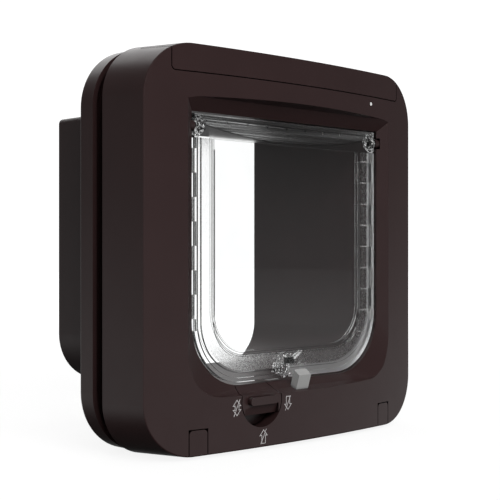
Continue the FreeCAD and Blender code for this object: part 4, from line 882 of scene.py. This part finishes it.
@dataclass
class CellDetails:
    """Metal ends and plain label bands on the cells, and the springs that press on them."""

    height: float = 87.65
    rows: tuple[float, float] = (14.65, 29.15)
    can_end: float = 49.15
    button_end: float = 50.35
    button: float = 2.7
    radius: float = 7.2
    skin: float = 0.02
    band: float = 9.0
    tip_end: float = 50.75
    tip: float = 2.2
    spring_wire: float = 0.28
    spring_turns: float = 3.0
    spring_pitch: float = 0.62
    end_rim: float = 0.9
    band_gap: float = 1.2

    def build(self) -> None:
        """Make the ends, bands and springs of both rows."""
        ends, bands, springs = bmesh.new(), bmesh.new(), bmesh.new()
        for side in (-1, 1):
            for row in self.rows:
                at = [place(side * x, row, self.height) for x in (
                    self.can_end, self.can_end + self.skin, self.button_end + self.skin,
                    self.can_end - self.band, self.can_end - self.band_gap, self.tip_end)]
                add_rod(ends, at[0], at[1], (self.radius - self.end_rim) / 1000)
                add_rod(ends, at[1], at[2], (self.button + self.skin) / 1000)
                add_rod(bands, at[3], at[4], (self.radius + self.skin) / 1000, sides=48,
                        hollow=(self.radius - self.skin) / 1000)
                Coil(at[5], Vector((side, 0.0, 0.0)), (self.tip + self.spring_wire) / 1000, self.spring_wire / 1000,
                     self.spring_pitch / 1000, self.spring_turns).add_to(springs)
        finished("cell_ends", ends, Finish.NICKEL, "frames")
        finished("cell_bands", bands, Finish.BAND, "frames")
        finished("contact_springs", springs, Finish.NICKEL, "frames")


@dataclass
class BoardDetails:
    """Small parts soldered on the front of the circuit board."""

    face: float = 20.0
    small: tuple[tuple[float, float], ...] = (
        (68.5, 88.4), (71.2, 88.4), (73.9, 88.4), (76.6, 88.4), (68.5, 79.6), (71.2, 79.6),
        (88.2, 88.2), (90.6, 86.4), (81.0, 88.6), (63.6, 79.4), (60.6, 79.4))
    can: tuple[float, float] = (86.6, 83.6)
    crystal: tuple[float, float] = (79.2, 80.4)

    def build(self) -> None:
        """Make the resistors, the capacitor, the crystal and the solder."""
        bodies, metal, ends = bmesh.new(), bmesh.new(), bmesh.new()
        for x, z in self.small:
            add_block(bodies, place(x - 0.6, self.face - 0.5, z - 0.4), place(x + 0.6, self.face, z + 0.4), 0.00008)
            for side in (-1, 1):
                add_block(ends, place(x + side * 0.55, self.face - 0.54, z - 0.42),
                          place(x + side * 0.95, self.face, z + 0.42), 0.00006)
        x, z = self.can
        add_rod(metal, place(x, self.face - 0.6, z), place(x, self.face - 5.4, z), 0.0025)
        add_block(bodies, place(x - 2.6, self.face - 0.6, z - 2.6), place(x + 2.6, self.face, z + 2.6), 0.0003)
        x, z = self.crystal
        add_block(metal, place(x - 2.4, self.face - 1.9, z - 1.0), place(x + 2.4, self.face, z + 1.0), 0.0006)
        finished("board_parts", bodies, Finish.RECESS, "frames")
        finished("board_cans", metal, Finish.NICKEL, "frames")
        finished("board_solder", ends, Finish.ZINC, "frames")


class Arrow(Enum):
    """Which way a printed arrow points."""

    UP = 1
    DOWN = -1
    BOTH = 0


@dataclass
class LockSigns:
    """Printed outlines round the lock dial, one for each way that the lock lets a cat pass."""

    width: float = 5.8
    height: float = 7.5
    tall_height: float = 8.5
    shaft: float = 2.9
    head: float = 3.4
    line: float = 0.4
    lift: float = 0.02
    thick: float = 0.03
    slash_reach: float = 1.02

    def tallness(self, kind: Arrow) -> float:
        """How tall an arrow is; one that points both ways is taller."""
        return self.tall_height if kind is Arrow.BOTH else self.height

    def arrow_corners(self, kind: Arrow) -> list[tuple[float, float]]:
        """Corners of a block arrow about its own middle, in millimetres.

        Args:
            kind: Which way it points.

        Returns:
            The corners, anticlockwise.
        """
        half, tall, stem, head = self.width / 2, self.tallness(kind) / 2, self.shaft / 2, self.head
        top = [(stem, tall - head), (half, tall - head), (0.0, tall), (-half, tall - head), (-stem, tall - head)]
        if kind is Arrow.BOTH:
            return top + [(-x, -z) for x, z in top]
        corners = top + [(-stem, -tall), (stem, -tall)]
        return corners if kind is Arrow.UP else [(-x, -z) for x, z in corners]

    def on_front(self, shape: bmesh.types.BMesh, x: float, height: float) -> None:
        """Move a flat sign from its own plane onto the bowed front.

        Args:
            shape: The sign, drawn about nought in millimetres in X and Z.
            x: Where its middle goes, sideways.
            height: Where its middle goes, above the frame's middle.
        """
        for vertex in shape.verts:
            across = x + vertex.co.x
            vertex.co = place(across, bow_depth(across) - self.lift - vertex.co.y, height + vertex.co.z)

    def sign(self, name: str, kind: Arrow, x: float, height: float) -> None:
        """Print one outlined arrow with a slash across it.

        Args:
            name: The piece's name.
            kind: Which way the arrow points.
            x: Its middle, sideways, in millimetres.
            height: Its middle above the frame's middle, in millimetres.
        """
        shape = bmesh.new()
        rim = [shape.verts.new((cx, 0.0, cz)) for cx, cz in self.arrow_corners(kind)]
        face = shape.faces.new(rim)
        shape.normal_update()
        bmesh.ops.inset_region(shape, faces=[face], thickness=self.line,
                               use_even_offset=True, use_boundary=True)
        bmesh.ops.delete(shape, geom=[face], context="FACES_ONLY")
        reach_x, reach_z = self.width * self.slash_reach / 3, self.tallness(kind) * self.slash_reach / 2
        along = Vector((reach_x, 0.0, reach_z)).normalized()
        side = Vector((along.z, 0.0, -along.x)) * self.line / 2
        ends = [Vector((-reach_x, 0.0, -reach_z)), Vector((reach_x, 0.0, reach_z))]
        shape.faces.new([shape.verts.new(point) for point in (
            ends[0] - side, ends[1] - side, ends[1] + side, ends[0] + side)])
        everything = list(shape.faces)
        bmesh.ops.recalc_face_normals(shape, faces=everything)
        bmesh.ops.solidify(shape, geom=everything, thickness=self.thick)
        self.on_front(shape, x, height)
        finished(name, shape, Finish.INK, "frames")

    def build(self) -> None:
        """Print the three signs."""
        self.sign("sign_both_ways", Arrow.BOTH, -48.6, -80.9)
        self.sign("sign_down", Arrow.DOWN, -13.1, -81.4)
        self.sign("sign_up", Arrow.UP, -30.7, -97.3)


def dress_solids() -> None:
    """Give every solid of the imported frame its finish."""
    for node, finish in NODE_FINISHES.items():
        thing = bpy.data.objects[node]
        thing.data.materials.clear()
        thing.data.materials.append(finish.make())
        LOG.info("dressed %s as %s", node, finish.value.name)


@dataclass(frozen=True)
class Lamp:
    """One square soft lamp, aimed at the middle of the frames."""

    name: str
    stand: tuple[float, float, float]
    size: float
    watts: float
    mirrored: bool

    def build(self) -> None:
        """Stand the lamp in the scene, out of the camera's sight."""
        data = bpy.data.lights.new(self.name, "AREA")
        data.size = self.size
        data.energy = self.watts
        lamp = bpy.data.objects.new(self.name, data)
        lamp.location = self.stand
        aim = Vector((0.0, 0.0, MIDDLE_Z)) - Vector(self.stand)
        lamp.rotation_euler = aim.to_track_quat("-Z", "Y").to_euler()
        lamp.visible_camera = False
        lamp.visible_glossy = self.mirrored
        bpy.context.collection.objects.link(lamp)


@dataclass
class Studio:
    """Camera, lamps, floor and the white surroundings.

    A slope is the pair of values between which a strength changes from one to the next.
    """

    camera_place: tuple[float, float, float] = (-0.4477, -0.4764, 0.105)
    heading: float = math.radians(44.17)
    lens: float = 81.53
    sensor: float = 36.0
    lamps: tuple[Lamp, ...] = (
        Lamp("key", (-0.5, -1.6, 0.9), 1.4, 31.0, mirrored=False),
        Lamp("fill", (-1.5, 0.3, 0.8), 1.0, 2.0, mirrored=False),
        Lamp("back", (0.3, 1.4, 1.2), 1.2, 6.0, mirrored=True))
    ambient: float = 0.28
    white: float = 1.12
    gloss_side: float = 0.17
    gloss_up: float = 0.1
    gloss_top: float = 0.6
    gloss_back: float = 0.8
    top_slope: tuple[float, float] = (0.7, 1.0)
    side_slope: tuple[float, float] = (0.0, 0.1)
    back_slope: tuple[float, float] = (0.75, 0.97)
    straight_slope: tuple[float, float] = (0.6, 0.95)
    floor_size: float = 8.0
    floor_grey: float = 0.2
    floor_glow: float = 0.87
    floor_reach: tuple[float, float] = (0.4, 1.2)
    floor_sheen: float = 0.55
    low_slope: tuple[float, float] = (0.0, 0.12)
    steep_slope: tuple[float, float] = (0.2, 0.5)
    steep_sheen: float = 0.04

    def camera(self) -> None:
        """Stand the camera where the photograph's fitted camera stood."""
        data = bpy.data.cameras.new("camera")
        data.sensor_width = self.sensor
        data.lens = self.lens
        data.clip_start = 0.01
        camera = bpy.data.objects.new("camera", data)
        camera.location = self.camera_place
        camera.rotation_euler = (math.pi / 2, 0.0, -self.heading)
        bpy.context.collection.objects.link(camera)
        bpy.context.scene.camera = camera

    def straight_sight(self, shader: Shader) -> tuple[Socket, Socket, Socket]:
        """Tell what the camera sees directly or through clear plastic from what is reflected.

        Args:
            shader: The node tree that the nodes go into.

        Returns:
            Sockets that are one for the camera's own rays, for rays that clear plastic let
            through without a mirror on their way, and for mirrored rays.
        """
        path = shader.node("LightPath")
        bounces = shader.plus(path.outputs["Glossy Depth"], path.outputs["Diffuse Depth"])
        through = shader.times(path.outputs["Is Transmission Ray"], shader.below(bounces, 0.5))
        either = shader.math("MAXIMUM", path.outputs["Is Glossy Ray"], path.outputs["Is Transmission Ray"])
        return path.outputs["Is Camera Ray"], through, shader.math("SUBTRACT", either, through)

    def surroundings(self) -> None:
        """White in straight sight, a dim room with a pale backdrop in reflections, and soft light."""
        world = bpy.data.worlds.new("studio")
        bpy.context.scene.world = world
        world.use_nodes = True
        shader = Shader.on_tree(world.node_tree)
        background = world.node_tree.nodes["Background"]
        direct, through, reflected = self.straight_sight(shader)
        split = shader.node("SeparateXYZ")
        shader.link(shader.coordinates.outputs["Generated"], split.inputs["Vector"])
        across, back, rise = (split.outputs[axis] for axis in "XYZ")
        overhead = shader.fade(rise, self.top_slope, (0.0, self.gloss_top - self.gloss_side))
        horizon = shader.fade(rise, self.side_slope, (self.gloss_side, self.gloss_up))
        right, ahead = math.sin(self.heading), math.cos(self.heading)
        forward = shader.math("MULTIPLY_ADD", across, right, shader.times(back, ahead))
        backdrop = shader.fade(forward, self.back_slope, (0.0, self.gloss_back))
        gloss = shader.plus(overhead, horizon, backdrop)
        unbent = shader.times(through, shader.fade(forward, self.straight_slope, (0.0, 1.0)))
        dim = shader.plus(reflected, shader.math("SUBTRACT", through, unbent))
        light = shader.math("MULTIPLY_ADD", dim, shader.math("SUBTRACT", gloss, self.ambient), self.ambient)
        strength = shader.math("MULTIPLY_ADD", shader.math("MAXIMUM", direct, unbent),
                               shader.math("SUBTRACT", self.white, light), light)
        shader.link(strength, background.inputs["Strength"])
        background.inputs["Color"].default_value = (1.0, 1.0, 1.0, 1.0)

    def floor_finish(self) -> bpy.types.Material:
        """A pale finish that takes the object's shadow, is white far off and dim in reflections."""
        shader = Shader("pale_floor")
        shader.set(Base_Color=(self.floor_grey, self.floor_grey, self.floor_grey, 1.0), Roughness=0.8,
                   Specular_IOR_Level=0.05)
        direct, through, reflected = self.straight_sight(shader)
        far = shader.node("VectorMath", operation="LENGTH")
        shader.link(shader.coordinates.outputs["Object"], far.inputs[0])
        straight = shader.fade(far.outputs["Value"], self.floor_reach, (self.floor_glow, self.white))
        glow, mirrored = shader.node("Emission"), shader.node("Emission")
        shader.link(shader.math("MULTIPLY_ADD", direct, straight, shader.times(through, self.white)),
                    glow.inputs["Strength"])
        fall = shader.math("SUBTRACT", 1.0, shader.node("LayerWeight").outputs["Facing"])
        sheen = shader.times(shader.fade(fall, self.low_slope, (self.gloss_side, self.floor_sheen)),
                             shader.fade(fall, self.steep_slope, (1.0, self.steep_sheen)))
        shader.link(sheen, mirrored.inputs["Strength"])
        both, either = shader.node("AddShader"), shader.node("MixShader")
        shader.link(shader.principled.outputs["BSDF"], both.inputs[0])
        shader.link(glow.outputs["Emission"], both.inputs[1])
        shader.link(reflected, either.inputs["Fac"])
        shader.link(both.outputs["Shader"], either.inputs[1])
        shader.link(mirrored.outputs["Emission"], either.inputs[2])
        shader.link(either.outputs["Shader"], shader.output.inputs["Surface"])
        return shader.material

    def floor(self) -> None:
        """Lay a pale floor under the object."""
        mesh = bpy.data.meshes.new("floor")
        shape = bmesh.new()
        bmesh.ops.create_grid(shape, x_segments=1, y_segments=1, size=self.floor_size / 2)
        shape.to_mesh(mesh)
        shape.free()
        floor = bpy.data.objects.new("floor", mesh)
        bpy.context.collection.objects.link(floor)
        mesh.materials.append(self.floor_finish())

    def build(self) -> None:
        """Make the whole studio."""
        self.camera()
        for lamp in self.lamps:
            lamp.build()
        self.surroundings()
        self.floor()
        bpy.context.scene.view_settings.view_transform = "Standard"
        LOG.info("studio ready")


def main() -> None:
    """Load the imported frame, dress it and set up the studio."""
    logging.basicConfig(level=logging.INFO)
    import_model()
    dress_solids()
    LockSigns().build()
    ScrewDetails().build()
    CellDetails().build()
    BoardDetails().build()
    Studio().build()


if __name__ == "__main__":
    main()
